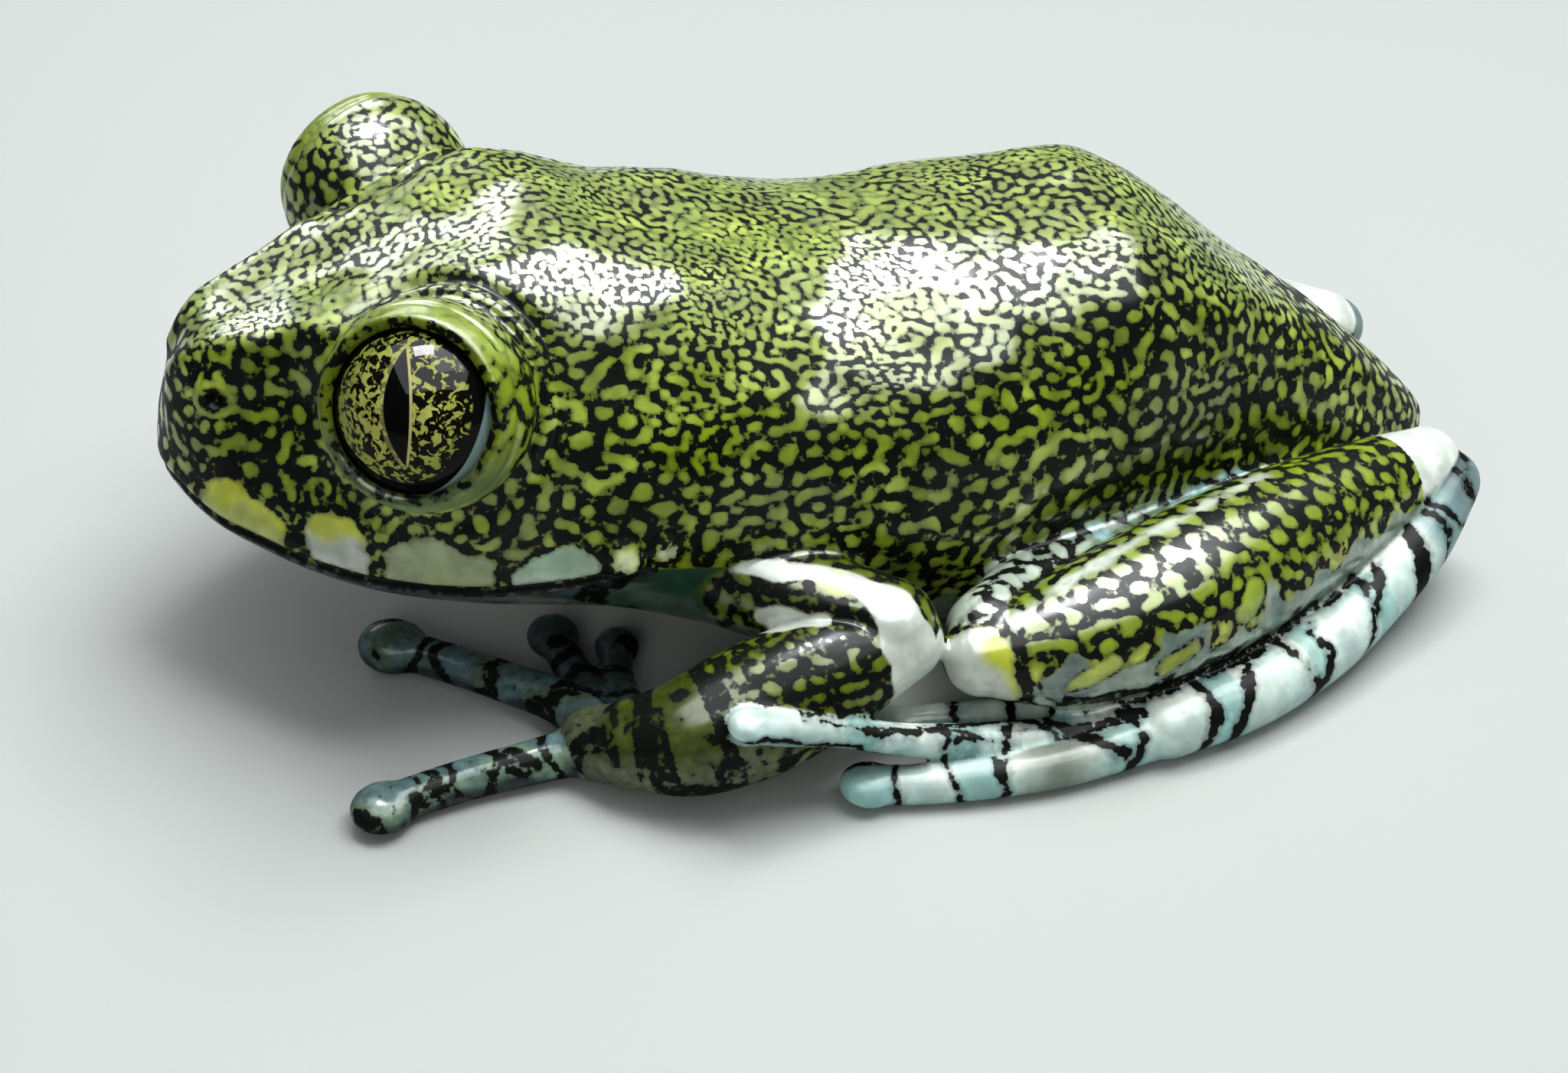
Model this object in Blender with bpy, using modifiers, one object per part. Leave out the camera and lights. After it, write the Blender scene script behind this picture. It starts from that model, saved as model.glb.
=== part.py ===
"""A vermiculated tree frog (Leptopelis vermiculatus), life size, crouched with its legs folded under it.

The frog faces -Y with its left side at +X, and +Z is up. The floor is at Z = 0, under the middle of the
frog. Sizes are written in millimetres and turned into metres where a mesh is made.
"""

import math

import bmesh
import bpy
from mathutils import Matrix, Vector

MM = 0.001
GAP = 0.3
NAME = "vermiculated_tree_frog"

# Body sections from the snout to the vent: y, top of the midline, then x and z of the ridge, the middle of
# the side, the lip or widest point, and the low edge, then the bottom of the midline.
SECTIONS = (
    (-25.0, 8.4, (0.3, 8.3), (0.5, 8.1), (0.5, 7.8), (0.3, 7.5), 7.4),
    (-24.85, 9.7, (0.8, 9.5), (1.2, 8.9), (1.3, 7.8), (0.8, 7.1), 7.0),
    (-24.5, 11.0, (1.4, 10.7), (1.9, 9.5), (2.1, 7.65), (1.3, 6.8), 6.7),
    (-24.0, 12.1, (1.8, 11.8), (2.5, 9.9), (2.9, 7.35), (1.9, 6.5), 6.3),
    (-23.2, 12.9, (2.1, 12.6), (3.0, 10.1), (3.85, 7.05), (2.6, 6.2), 5.9),
    (-22.0, 13.4, (2.4, 13.2), (3.4, 10.4), (4.8, 6.8), (3.4, 5.85), 5.4),
    (-20.5, 13.9, (2.9, 13.8), (4.2, 10.6), (5.9, 6.5), (4.2, 5.5), 4.9),
    (-18.5, 14.6, (3.8, 14.5), (5.6, 10.8), (7.0, 6.25), (5.1, 5.1), 4.4),
    (-16.3, 15.5, (4.6, 15.3), (6.9, 11.0), (7.8, 6.15), (5.8, 4.8), 4.1),
    (-14.0, 16.4, (4.9, 16.1), (7.6, 11.4), (8.4, 6.25), (6.3, 4.5), 3.8),
    (-11.5, 16.6, (4.8, 15.9), (7.9, 11.7), (8.7, 6.5), (6.6, 4.1), 3.3),
    (-9.0, 16.1, (4.6, 15.4), (7.9, 11.5), (8.8, 6.9), (6.8, 3.4), 2.4),
    (-6.0, 15.5, (4.6, 14.8), (7.9, 11.4), (8.8, 6.4), (6.8, 2.2), 1.2),
    (-2.5, 15.0, (4.4, 14.25), (7.9, 11.3), (8.9, 6.2), (6.6, 1.2), 0.1),
    (1.0, 14.9, (4.3, 14.2), (7.8, 11.2), (8.8, 6.2), (6.6, 0.8), -0.4),
    (5.0, 15.1, (4.2, 14.5), (7.3, 11.5), (8.4, 6.2), (6.2, 0.7), -0.5),
    (8.0, 15.3, (4.0, 14.85), (6.7, 11.8), (7.6, 6.2), (5.6, 0.8), -0.5),
    (10.0, 15.2, (3.8, 14.8), (6.2, 11.7), (6.9, 6.1), (5.0, 0.9), -0.4),
    (12.0, 14.3, (3.5, 13.9), (5.6, 11.0), (6.2, 5.8), (4.4, 0.9), -0.2),
    (15.0, 12.2, (3.0, 11.7), (4.6, 9.5), (5.2, 5.3), (3.8, 1.0), 0.1),
    (18.0, 10.0, (2.5, 9.5), (3.7, 7.6), (4.2, 4.5), (3.2, 1.3), 0.5),
    (21.0, 7.6, (2.1, 7.2), (2.9, 5.7), (3.2, 3.7), (2.5, 1.6), 0.9),
    (23.5, 5.4, (1.4, 5.2), (1.9, 4.4), (2.1, 3.4), (1.6, 1.9), 1.5),
    (24.8, 4.1, (0.6, 4.0), (0.8, 3.7), (0.9, 3.2), (0.7, 2.8), 2.6),
)
NECK_Y = -8.4
MOUTH_BELOW_LIP = 0.05

EYE_CENTRE = Vector((7.1, -16.2, 13.4))
EYE_RADIUS = 3.04
EYE_BULGE_RADIUS = 3.6
EYE_FORWARD_DEG = 30.0
# On the left and on the right, where the lids are lower: how far up the eye looks, the radius of the opening
# between the lids, and how far out from the eye's centre the opening lies.
EYE_UP_DEG = {1: 26.0, -1: 13.0}
EYE_OPENING_RADIUS = {1: 2.75, -1: 2.45}
EYE_OPENING_OUT = {1: 1.3, -1: 1.8}
EYE_SOCKET_FROM = -0.9
EYE_BACK = -0.5
LID_THICKNESS = 0.34
NOSTRIL = Vector((2.75, -23.05, 11.4))
NOSTRIL_RADIUS = 0.38

# Limb centre lines on the left side, each point x, y, z and the limb's radius there.
UPPER_ARM = ((5.2, -7.0, 4.7, 2.2), (7.6, -5.2, 4.9, 2.0), (9.8, -2.8, 5.1, 1.8), (11.3, -0.8, 5.0, 1.75))
FOREARM = ((11.6, -0.5, 4.6, 1.6), (12.0, -3.3, 3.7, 2.2), (12.3, -5.8, 2.75, 2.4), (12.5, -8.1, 2.1, 2.15),
           (12.0, -10.0, 1.6, 1.65))
PALM = ((12.0, -9.8, 1.5, 1.55), (11.2, -11.3, 1.1, 1.35))
FINGERS = (
    ((11.7, -10.6, 1.2, 0.95), (11.3, -12.4, 0.85, 0.85), (11.45, -13.9, 0.75, 0.8), (11.7, -15.6, 0.7, 0.76),
     (12.15, -17.4, 0.7, 0.74), (12.5, -18.5, 0.7, 0.74)),
    ((11.0, -10.9, 1.2, 0.95), (8.7, -12.0, 0.9, 0.84), (7.3, -13.5, 0.8, 0.78), (6.0, -15.1, 0.75, 0.75),
     (4.6, -17.2, 0.8, 0.75)),
    ((10.6, -10.4, 1.1, 0.85), (7.6, -11.1, 0.7, 0.7), (5.0, -11.6, 0.65, 0.66)),
    ((10.4, -9.8, 1.1, 0.8), (7.6, -9.8, 0.65, 0.66), (5.9, -9.5, 0.6, 0.62)),
)
FINGER_PADS = ((1.12, 1.4), (1.25, 1.7), (1.0, 1.4), (0.85, 1.3))

THIGH = ((2.4, 19.0, 4.0, 1.7), (4.5, 14.8, 3.65, 1.95), (6.6, 9.9, 3.55, 1.95), (9.2, 5.4, 3.8, 1.7),
         (11.2, 2.9, 4.2, 1.5))
SHIN = ((12.1, 2.5, 3.75, 1.45), (12.0, 5.35, 3.85, 2.35), (10.95, 9.0, 4.0, 2.85), (9.55, 12.3, 4.1, 2.95),
        (7.55, 16.5, 4.2, 2.6), (5.9, 20.4, 4.45, 1.95), (5.0, 22.7, 4.6, 1.45))
TARSUS = ((5.6, 23.6, 4.0, 1.3), (7.6, 21.7, 2.9, 1.3), (9.3, 19.3, 2.0, 1.3), (11.2, 16.4, 1.4, 1.35),
          (13.0, 12.7, 1.15, 1.35), (14.0, 9.2, 1.05, 1.25))
TOES = (
    ((14.1, 9.0, 0.9, 0.98), (14.9, 5.2, 0.75, 0.86), (15.05, 2.2, 0.7, 0.8), (14.9, -0.4, 0.65, 0.74),
     (14.7, -1.8, 0.7, 0.72)),
    ((13.7, 9.2, 1.0, 0.95), (13.9, 4.9, 1.1, 0.78), (14.1, 2.0, 1.6, 0.68), (14.35, -1.0, 2.4, 0.6),
     (14.35, -3.4, 3.2, 0.58), (14.65, -6.4, 4.15, 0.58)),
    ((13.1, 9.4, 1.0, 0.9), (12.3, 5.4, 0.7, 0.74), (11.9, 2.2, 0.65, 0.68), (11.7, -0.2, 0.6, 0.64)),
    ((12.8, 10.4, 1.0, 0.85), (11.0, 7.0, 0.65, 0.68), (10.2, 4.6, 0.6, 0.62)),
    ((12.4, 11.6, 1.0, 0.8), (10.2, 9.4, 0.6, 0.62), (9.0, 7.6, 0.55, 0.58)),
)
TOE_PADS = ((1.0, 1.35), (0.74, 1.02), (0.95, 1.3), (0.85, 1.2), (0.8, 1.2))

TRIANGLES = {
    "torso": 3000, "head": 2900, "lower": 700, "eye": 240, "upper": 340, "forearm": 420, "hand": 1000,
    "thigh": 460, "shin": 520, "tarsus": 420, "foot": 1350,
}
FINE_BODY_TRIANGLES = 16000
FINE_SHARE = 2
THINNING_STEP = 6

# What each piece is cut clear of, and the pieces that rest on the floor.
PRESSES = {
    "thigh": (),
    "shin": ("thigh",),
    "upper_arm": ("thigh", "shin"),
    "forearm": ("upper_arm", "shin", "thigh"),
    "hand": ("forearm",),
    "tarsus": ("shin", "thigh"),
    "foot": ("tarsus", "shin", "thigh", "upper_arm", "forearm", "hand"),
}
ON_FLOOR = ("forearm", "hand", "tarsus", "foot")

SKIN_GREEN = (0.30, 0.42, 0.10)
JAW_CREAM = (0.62, 0.66, 0.48)
HAND_GREY = (0.42, 0.50, 0.46)
EYE_GOLD = (0.70, 0.58, 0.28)
SKIN_ROUGHNESS = 0.35
EYE_ROUGHNESS = 0.08


def clear_scene():
    for old in list(bpy.data.objects):
        bpy.data.objects.remove(old)


def collection(name):
    group = bpy.data.collections.new(name)
    bpy.context.scene.collection.children.link(group)
    return group


def material(name, color, roughness):
    made = bpy.data.materials.new(name)
    made.use_nodes = True
    shader = made.node_tree.nodes["Principled BSDF"]
    shader.inputs["Base Color"].default_value = (*color, 1)
    shader.inputs["Roughness"].default_value = roughness
    shader.inputs["Metallic"].default_value = 0
    return made


def catmull(a, b, c, d, t):
    """The Catmull-Rom value between b and c, for numbers or vectors."""
    bend = 2 * a - 5 * b + 4 * c - d
    twist = 3 * b - a - 3 * c + d
    return 0.5 * (2 * b + (c - a) * t + bend * t * t + twist * t ** 3)


def smooth_line(points, steps, closed=False):
    """Points on a smooth curve through the given vectors, with some steps between each two."""
    count = len(points)
    found = []
    for i in range(count if closed else count - 1):
        if closed:
            a, b, c, d = (points[(i + k) % count] for k in (-1, 0, 1, 2))
        else:
            b, c = points[i], points[i + 1]
            a = points[i - 1] if i else 2 * b - c
            d = points[i + 2] if i + 2 < count else 2 * c - b
        found += [catmull(a, b, c, d, k / steps) for k in range(steps)]
    return found if closed else found + [points[-1]]


def add_object(name, data):
    obj = bpy.data.objects.new(name, data)
    bpy.context.scene.collection.objects.link(obj)
    return obj


def mesh_object(name, bm):
    mesh = bpy.data.meshes.new(name)
    bm.to_mesh(mesh)
    bm.free()
    return add_object(name, mesh)


def applied(obj, name):
    """A new mesh object with obj's modifiers and placing applied, which takes its place."""
    bpy.context.view_layer.update()
    graph = bpy.context.evaluated_depsgraph_get()
    mesh = bpy.data.meshes.new_from_object(obj.evaluated_get(graph))
    mesh.transform(obj.matrix_world)
    bpy.data.objects.remove(obj)
    return add_object(name, mesh)


def welded(obj, distance=0.001):
    """Merges points closer than a distance, as at a curve's caps, and turns the faces outward."""
    bm = bmesh.new()
    bm.from_mesh(obj.data)
    bmesh.ops.remove_doubles(bm, verts=bm.verts, dist=distance * MM)
    bmesh.ops.dissolve_degenerate(bm, edges=bm.edges, dist=distance * MM)
    bmesh.ops.recalc_face_normals(bm, faces=bm.faces)
    bm.to_mesh(obj.data)
    bm.free()
    return obj


def body_loft():
    """The head and trunk in one, lofted through the sections."""
    rows = []
    for y, top, ridge, side, wide, low, bottom in SECTIONS:
        half = [ridge, side, wide, low]
        outline = [(0.0, top)] + half + [(0.0, bottom)] + [(-x, z) for x, z in reversed(half)]
        rows.append([Vector((x, y, z)) for x, z in outline])
    columns = [smooth_line([row[k] for row in rows], 3) for k in range(len(rows[0]))]
    bm = bmesh.new()
    rings = []
    for points in zip(*columns):
        rings.append([bm.verts.new(p * MM) for p in smooth_line(list(points), 5, closed=True)])
    for a, b in zip(rings, rings[1:]):
        for k in range(len(a)):
            bm.faces.new((a[k - 1], a[k], b[k], b[k - 1]))
    bm.faces.new(rings[0])
    bm.faces.new(reversed(rings[-1]))
    bmesh.ops.recalc_face_normals(bm, faces=bm.faces)
    return mesh_object("body_loft", bm)


def ball(centre, radii, turn=Matrix.Identity(3), segments=24):
    """An ellipsoid whose radii run along the axes of the rotation matrix turn."""
    bm = bmesh.new()
    bmesh.ops.create_uvsphere(bm, u_segments=segments, v_segments=segments // 2, radius=MM)
    matrix = Matrix.Translation(Vector(centre) * MM) @ turn.to_4x4() @ Matrix.Diagonal((*radii, 1))
    bmesh.ops.transform(bm, matrix=matrix, verts=bm.verts)
    return mesh_object("ball", bm)


def tube(line, sides=16, steps=4):
    """A limb with round ends: a bevelled curve through the points, each with its own radius."""
    points = smooth_line([Vector(p) for p in line], steps)
    caps = []
    for end, inner in ((points[0], points[1]), (points[-1], points[-2])):
        out = (end.xyz - inner.xyz).normalized()
        turns = [math.radians(angle) for angle in (25, 48, 68, 84)]
        spots = [(end.xyz + out * end.w * math.sin(a), end.w * math.cos(a)) for a in turns]
        caps.append([Vector((*spot, width)) for spot, width in spots])
    points = caps[0][::-1] + points + caps[1]
    data = bpy.data.curves.new("tube", "CURVE")
    data.dimensions = "3D"
    data.bevel_depth = MM
    data.bevel_resolution = (sides - 4) // 2
    data.use_fill_caps = True
    spline = data.splines.new("POLY")
    spline.points.add(len(points) - 1)
    for spot, p in zip(spline.points, points):
        spot.co = (*(p.xyz * MM), 1)
        spot.radius = p.w
    return welded(applied(add_object("tube", data), "tube"))


def rod(base, along, radius, length, sides=32):
    """A round rod from base along a direction."""
    bm = bmesh.new()
    bmesh.ops.create_cone(
        bm, cap_ends=True, segments=sides, radius1=radius * MM, radius2=radius * MM, depth=length * MM
    )
    turn = along.to_track_quat("Z", "Y").to_matrix().to_4x4()
    place = Matrix.Translation((base + along * length / 2) * MM)
    bmesh.ops.transform(bm, matrix=place @ turn, verts=bm.verts)
    return mesh_object("rod", bm)


def ring(centre, along, radius, thickness):
    bpy.ops.mesh.primitive_torus_add(
        major_radius=radius * MM, minor_radius=thickness * MM, major_segments=36, minor_segments=10,
        location=centre * MM, rotation=along.to_track_quat("Z", "Y").to_euler(),
    )
    return applied(bpy.context.active_object, "ring")


def box(low, high):
    low, high = Vector(low) * MM, Vector(high) * MM
    bm = bmesh.new()
    bmesh.ops.create_cube(bm, size=1)
    bmesh.ops.transform(bm, matrix=Matrix.Diagonal((*(high - low), 1)), verts=bm.verts)
    bmesh.ops.translate(bm, vec=(low + high) / 2, verts=bm.verts)
    return mesh_object("box", bm)


def triangle_count(obj):
    return sum(len(face.vertices) - 2 for face in obj.data.polygons)


def is_closed(obj):
    bm = bmesh.new()
    bm.from_mesh(obj.data)
    closed = all(edge.is_manifold for edge in bm.edges)
    bm.free()
    return closed


def thinned(obj, triangles):
    """obj with about so many triangles, or a few more where thinning would tear its surface."""
    name = obj.name
    whole = triangle_count(obj)
    while True:
        trial = add_object("thin", obj.data.copy())
        thin = trial.modifiers.new("thin", "DECIMATE")
        thin.ratio = min(1.0, triangles / whole)
        thin.use_collapse_triangulate = True
        trial = applied(trial, "thin")
        if is_closed(trial) or triangles >= whole:
            break
        bpy.data.objects.remove(trial)
        triangles += THINNING_STEP
    bpy.data.objects.remove(obj)
    trial.name = name
    return trial


def fused(name, pieces, triangles, voxel=0.25, rounds=3):
    """Overlapping pieces as one smooth skin of about so many triangles. The pieces are removed."""
    bm = bmesh.new()
    for piece in pieces:
        bm.from_mesh(piece.data)
        bpy.data.objects.remove(piece)
    obj = mesh_object("rough", bm)
    remesh = obj.modifiers.new("skin", "REMESH")
    remesh.mode = "VOXEL"
    remesh.voxel_size = voxel * MM
    smooth = obj.modifiers.new("smooth", "SMOOTH")
    smooth.factor = 0.5
    smooth.iterations = rounds
    return thinned(applied(obj, name), triangles)


def grown(obj):
    """A copy of a piece, larger by the gap that its neighbours keep from it."""
    swell = add_object("grown", obj.data.copy())
    push = swell.modifiers.new("push", "DISPLACE")
    push.mid_level = 0
    push.strength = GAP * MM
    return applied(swell, "grown")


def cut(obj, cutters):
    """obj less the cutters, which are removed. Only its largest closed surface stays."""
    name = obj.name
    for cutter in cutters:
        cutter.hide_render = True
        cutter.display_type = "WIRE"
        away = obj.modifiers.new("cut", "BOOLEAN")
        away.operation = "DIFFERENCE"
        away.object = cutter
        away.solver = "EXACT"
    obj.name = name + "_whole"
    made = applied(obj, name)
    for cutter in cutters:
        bpy.data.objects.remove(cutter)
    keep(made, surfaces(made)[:1])
    return made


def surfaces(obj):
    """The separate closed surfaces of a mesh, as sets of vertex indices, the largest first."""
    bm = bmesh.new()
    bm.from_mesh(obj.data)
    left = set(bm.verts)
    found = []
    while left:
        wave = [left.pop()]
        island = set(wave)
        while wave:
            wave = {e.other_vert(v) for v in wave for e in v.link_edges} & left
            left -= wave
            island |= wave
        found.append({v.index for v in island})
    bm.free()
    return sorted(found, key=len, reverse=True)


def keep(obj, groups):
    kept = set().union(*groups)
    bm = bmesh.new()
    bm.from_mesh(obj.data)
    bmesh.ops.delete(bm, geom=[v for v in bm.verts if v.index not in kept], context="VERTS")
    bm.to_mesh(obj.data)
    bm.free()


def parted(obj, cutter, names, axis):
    """obj parted in two by a thin cutter. The names go by the order of the centres along an axis."""
    away = obj.modifiers.new("part", "BOOLEAN")
    away.operation = "DIFFERENCE"
    away.object = cutter
    away.solver = "EXACT"
    whole = applied(obj, "whole")
    bpy.data.objects.remove(cutter)
    verts = whole.data.vertices
    groups = surfaces(whole)[:2]
    groups.sort(key=lambda g: sum(verts[i].co[axis] for i in g) / len(g))
    found = []
    for name, group in zip(names, groups):
        piece = add_object(name, whole.data.copy())
        keep(piece, [group])
        found.append(piece)
    bpy.data.objects.remove(whole)
    return found


def gaze(side):
    """The way the eye looks out, as a unit vector. side is 1 for the left and -1 for the right."""
    up, forward = math.radians(EYE_UP_DEG[side]), math.radians(EYE_FORWARD_DEG)
    level = math.cos(up)
    return Vector((side * level * math.cos(forward), -level * math.sin(forward), math.sin(up)))


def mirrored(point, side):
    return Vector((side * point[0], *point[1:]))


def side_line(line, side):
    return [mirrored(p, side) for p in line]


def mouth_sheet():
    """A thin curved sheet just under the upper lip, from before the snout to the neck."""
    lips = [Vector((-30.0, 7.6)), Vector((-25.3, 7.5))]
    lips += [Vector((row[0], row[4][1] - MOUTH_BELOW_LIP)) for row in SECTIONS if -25 < row[0] < NECK_Y]
    lips.append(Vector((NECK_Y + 1, 6.8)))
    line = smooth_line(lips, 3)
    half = Vector((0, GAP / 2))
    outline = [p + half for p in line] + [p - half for p in reversed(line)]
    data = bpy.data.curves.new("mouth", "CURVE")
    data.dimensions = "2D"
    data.fill_mode = "BOTH"
    data.extrude = 14 * MM
    spline = data.splines.new("POLY")
    spline.points.add(len(outline) - 1)
    spline.use_cyclic_u = True
    for spot, p in zip(spline.points, outline):
        spot.co = (p.x * MM, p.y * MM, 0, 1)
    obj = add_object("mouth", data)
    obj.matrix_world = Matrix(((0, 0, 1, 0), (1, 0, 0, 0), (0, 1, 0, 0), (0, 0, 0, 1)))
    return welded(applied(obj, "mouth_sheet"))


def pad(line, radius, thickness):
    """The pad at a digit's end: round from above and a little flattened."""
    along = (line[-1].xyz - line[-2].xyz).normalized()
    turn = along.to_track_quat("X", "Z").to_matrix()
    return ball(line[-1].xyz + along * radius * 0.35, (radius * 1.08, radius, thickness / 2), turn, 20)


def digits(lines, pads, side):
    pieces = []
    for line, (radius, thickness) in zip(lines, pads):
        line = side_line(line, side)
        pieces += [tube(line, sides=12, steps=3), pad(line, radius, thickness)]
    return pieces


def head_and_trunk(pressed):
    """The head, jaw and torso, dented where the pieces of the limbs press on them."""
    pieces = [body_loft()]
    for side in (1, -1):
        centre = mirrored(EYE_CENTRE, side)
        pieces.append(ball(centre, [EYE_BULGE_RADIUS] * 3, segments=32))
        middle = centre + gaze(side) * EYE_OPENING_OUT[side]
        pieces.append(ring(middle, gaze(side), EYE_OPENING_RADIUS[side] + 0.2, LID_THICKNESS))
    body = fused("body", pieces, FINE_BODY_TRIANGLES)
    cutters = [below_floor()] + [grown(piece) for piece in pressed]
    for side in (1, -1):
        centre = mirrored(EYE_CENTRE, side)
        base = centre + gaze(side) * EYE_SOCKET_FROM
        cutters.append(rod(base, gaze(side), EYE_OPENING_RADIUS[side], 6))
        cutters.append(ball(mirrored(NOSTRIL, side), [NOSTRIL_RADIUS] * 3, segments=10))
    body = cut(body, cutters)
    neck = box((-16, NECK_Y, -2), (16, NECK_Y + GAP, 22))
    front, trunk = parted(body, neck, ("front", "torso"), 1)
    parted(front, mouth_sheet(), ("lower_jaw", "head"), 2)


def eyeballs():
    for side, word in ((1, "left"), (-1, "right")):
        centre = mirrored(EYE_CENTRE, side)
        eye = ball(centre, [EYE_RADIUS] * 3, segments=28)
        shaft = rod(centre + gaze(side) * EYE_BACK, gaze(side), EYE_OPENING_RADIUS[side] - GAP, 6, 28)
        common = eye.modifiers.new("common", "BOOLEAN")
        common.operation = "INTERSECT"
        common.object = shaft
        common.solver = "EXACT"
        applied(eye, "eye_" + word)
        bpy.data.objects.remove(shaft)


def below_floor():
    return box((-60, -60, -30), (60, 60, 0))


def limb_pieces(side, word):
    """An arm and a leg. Each piece that another presses on is cut clear of it."""
    made = {}
    for kind, line, more in (
        ("thigh", THIGH, []),
        ("shin", SHIN, []),
        ("upper_arm", UPPER_ARM, []),
        ("forearm", FOREARM, []),
        ("hand", PALM, digits(FINGERS, FINGER_PADS, side)),
        ("tarsus", TARSUS, []),
        ("foot", None, digits(TOES, TOE_PADS, side)),
    ):
        pieces = more + ([tube(side_line(line, side))] if line else [])
        fine = TRIANGLES[kind.split("_")[0]] * FINE_SHARE
        piece = fused(f"{kind}_{word}", pieces, fine, voxel=0.2, rounds=2)
        cutters = [grown(made[other]) for other in PRESSES[kind]]
        if kind in ON_FLOOR:
            cutters.append(below_floor())
        made[kind] = cut(piece, cutters) if cutters else piece
    return list(made.values())


def finish():
    """Thins each node, and gives it its material and its place in the collection, under one empty."""
    group = collection(NAME)
    root = bpy.data.objects.new("frog_root", None)
    group.objects.link(root)
    looks = {
        "eye": (EYE_GOLD, EYE_ROUGHNESS),
        "hand": (HAND_GREY, SKIN_ROUGHNESS),
        "foot": (HAND_GREY, SKIN_ROUGHNESS),
        "lower": (JAW_CREAM, SKIN_ROUGHNESS),
    }
    for obj in [o for o in bpy.context.scene.objects if o.type == "MESH"]:
        kind = obj.name.split("_")[0]
        obj = thinned(obj, TRIANGLES[kind])
        bpy.context.scene.collection.objects.unlink(obj)
        group.objects.link(obj)
        color, roughness = looks.get(kind, (SKIN_GREEN, SKIN_ROUGHNESS))
        obj.data.materials.clear()
        obj.data.materials.append(material(obj.name, color, roughness))
        corners = [Vector(c) for c in obj.bound_box]
        middle = (corners[0] + corners[6]) / 2
        obj.data.transform(Matrix.Translation(-middle))
        obj.location = middle
        obj.parent = root
        obj.data.shade_smooth()


def main():
    clear_scene()
    pressed = limb_pieces(1, "left") + limb_pieces(-1, "right")
    head_and_trunk(pressed)
    eyeballs()
    finish()


main()
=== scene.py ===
"""Looks for a vermiculated tree frog (Leptopelis vermiculatus), a life-size still model.

The frog faces -Y with its left side at +X. Lengths are in millimetres until a mesh is made.
"""

import math

import bmesh
import bpy
import numpy as np
from mathutils import Matrix, Vector


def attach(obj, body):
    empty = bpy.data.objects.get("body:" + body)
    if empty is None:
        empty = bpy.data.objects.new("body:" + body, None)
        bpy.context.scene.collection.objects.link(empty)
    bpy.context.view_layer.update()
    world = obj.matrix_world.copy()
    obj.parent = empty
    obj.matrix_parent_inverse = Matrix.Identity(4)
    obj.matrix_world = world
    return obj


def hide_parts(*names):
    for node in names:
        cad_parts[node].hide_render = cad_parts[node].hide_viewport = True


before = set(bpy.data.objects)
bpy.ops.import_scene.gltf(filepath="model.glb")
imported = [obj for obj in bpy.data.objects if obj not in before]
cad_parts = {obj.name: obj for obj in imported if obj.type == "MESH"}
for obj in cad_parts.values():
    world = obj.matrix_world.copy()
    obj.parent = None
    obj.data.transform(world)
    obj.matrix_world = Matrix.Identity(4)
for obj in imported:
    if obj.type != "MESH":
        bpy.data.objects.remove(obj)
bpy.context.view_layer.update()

MM = 0.001
SEED = 20240611
CLOUD_SEED = 5

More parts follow.
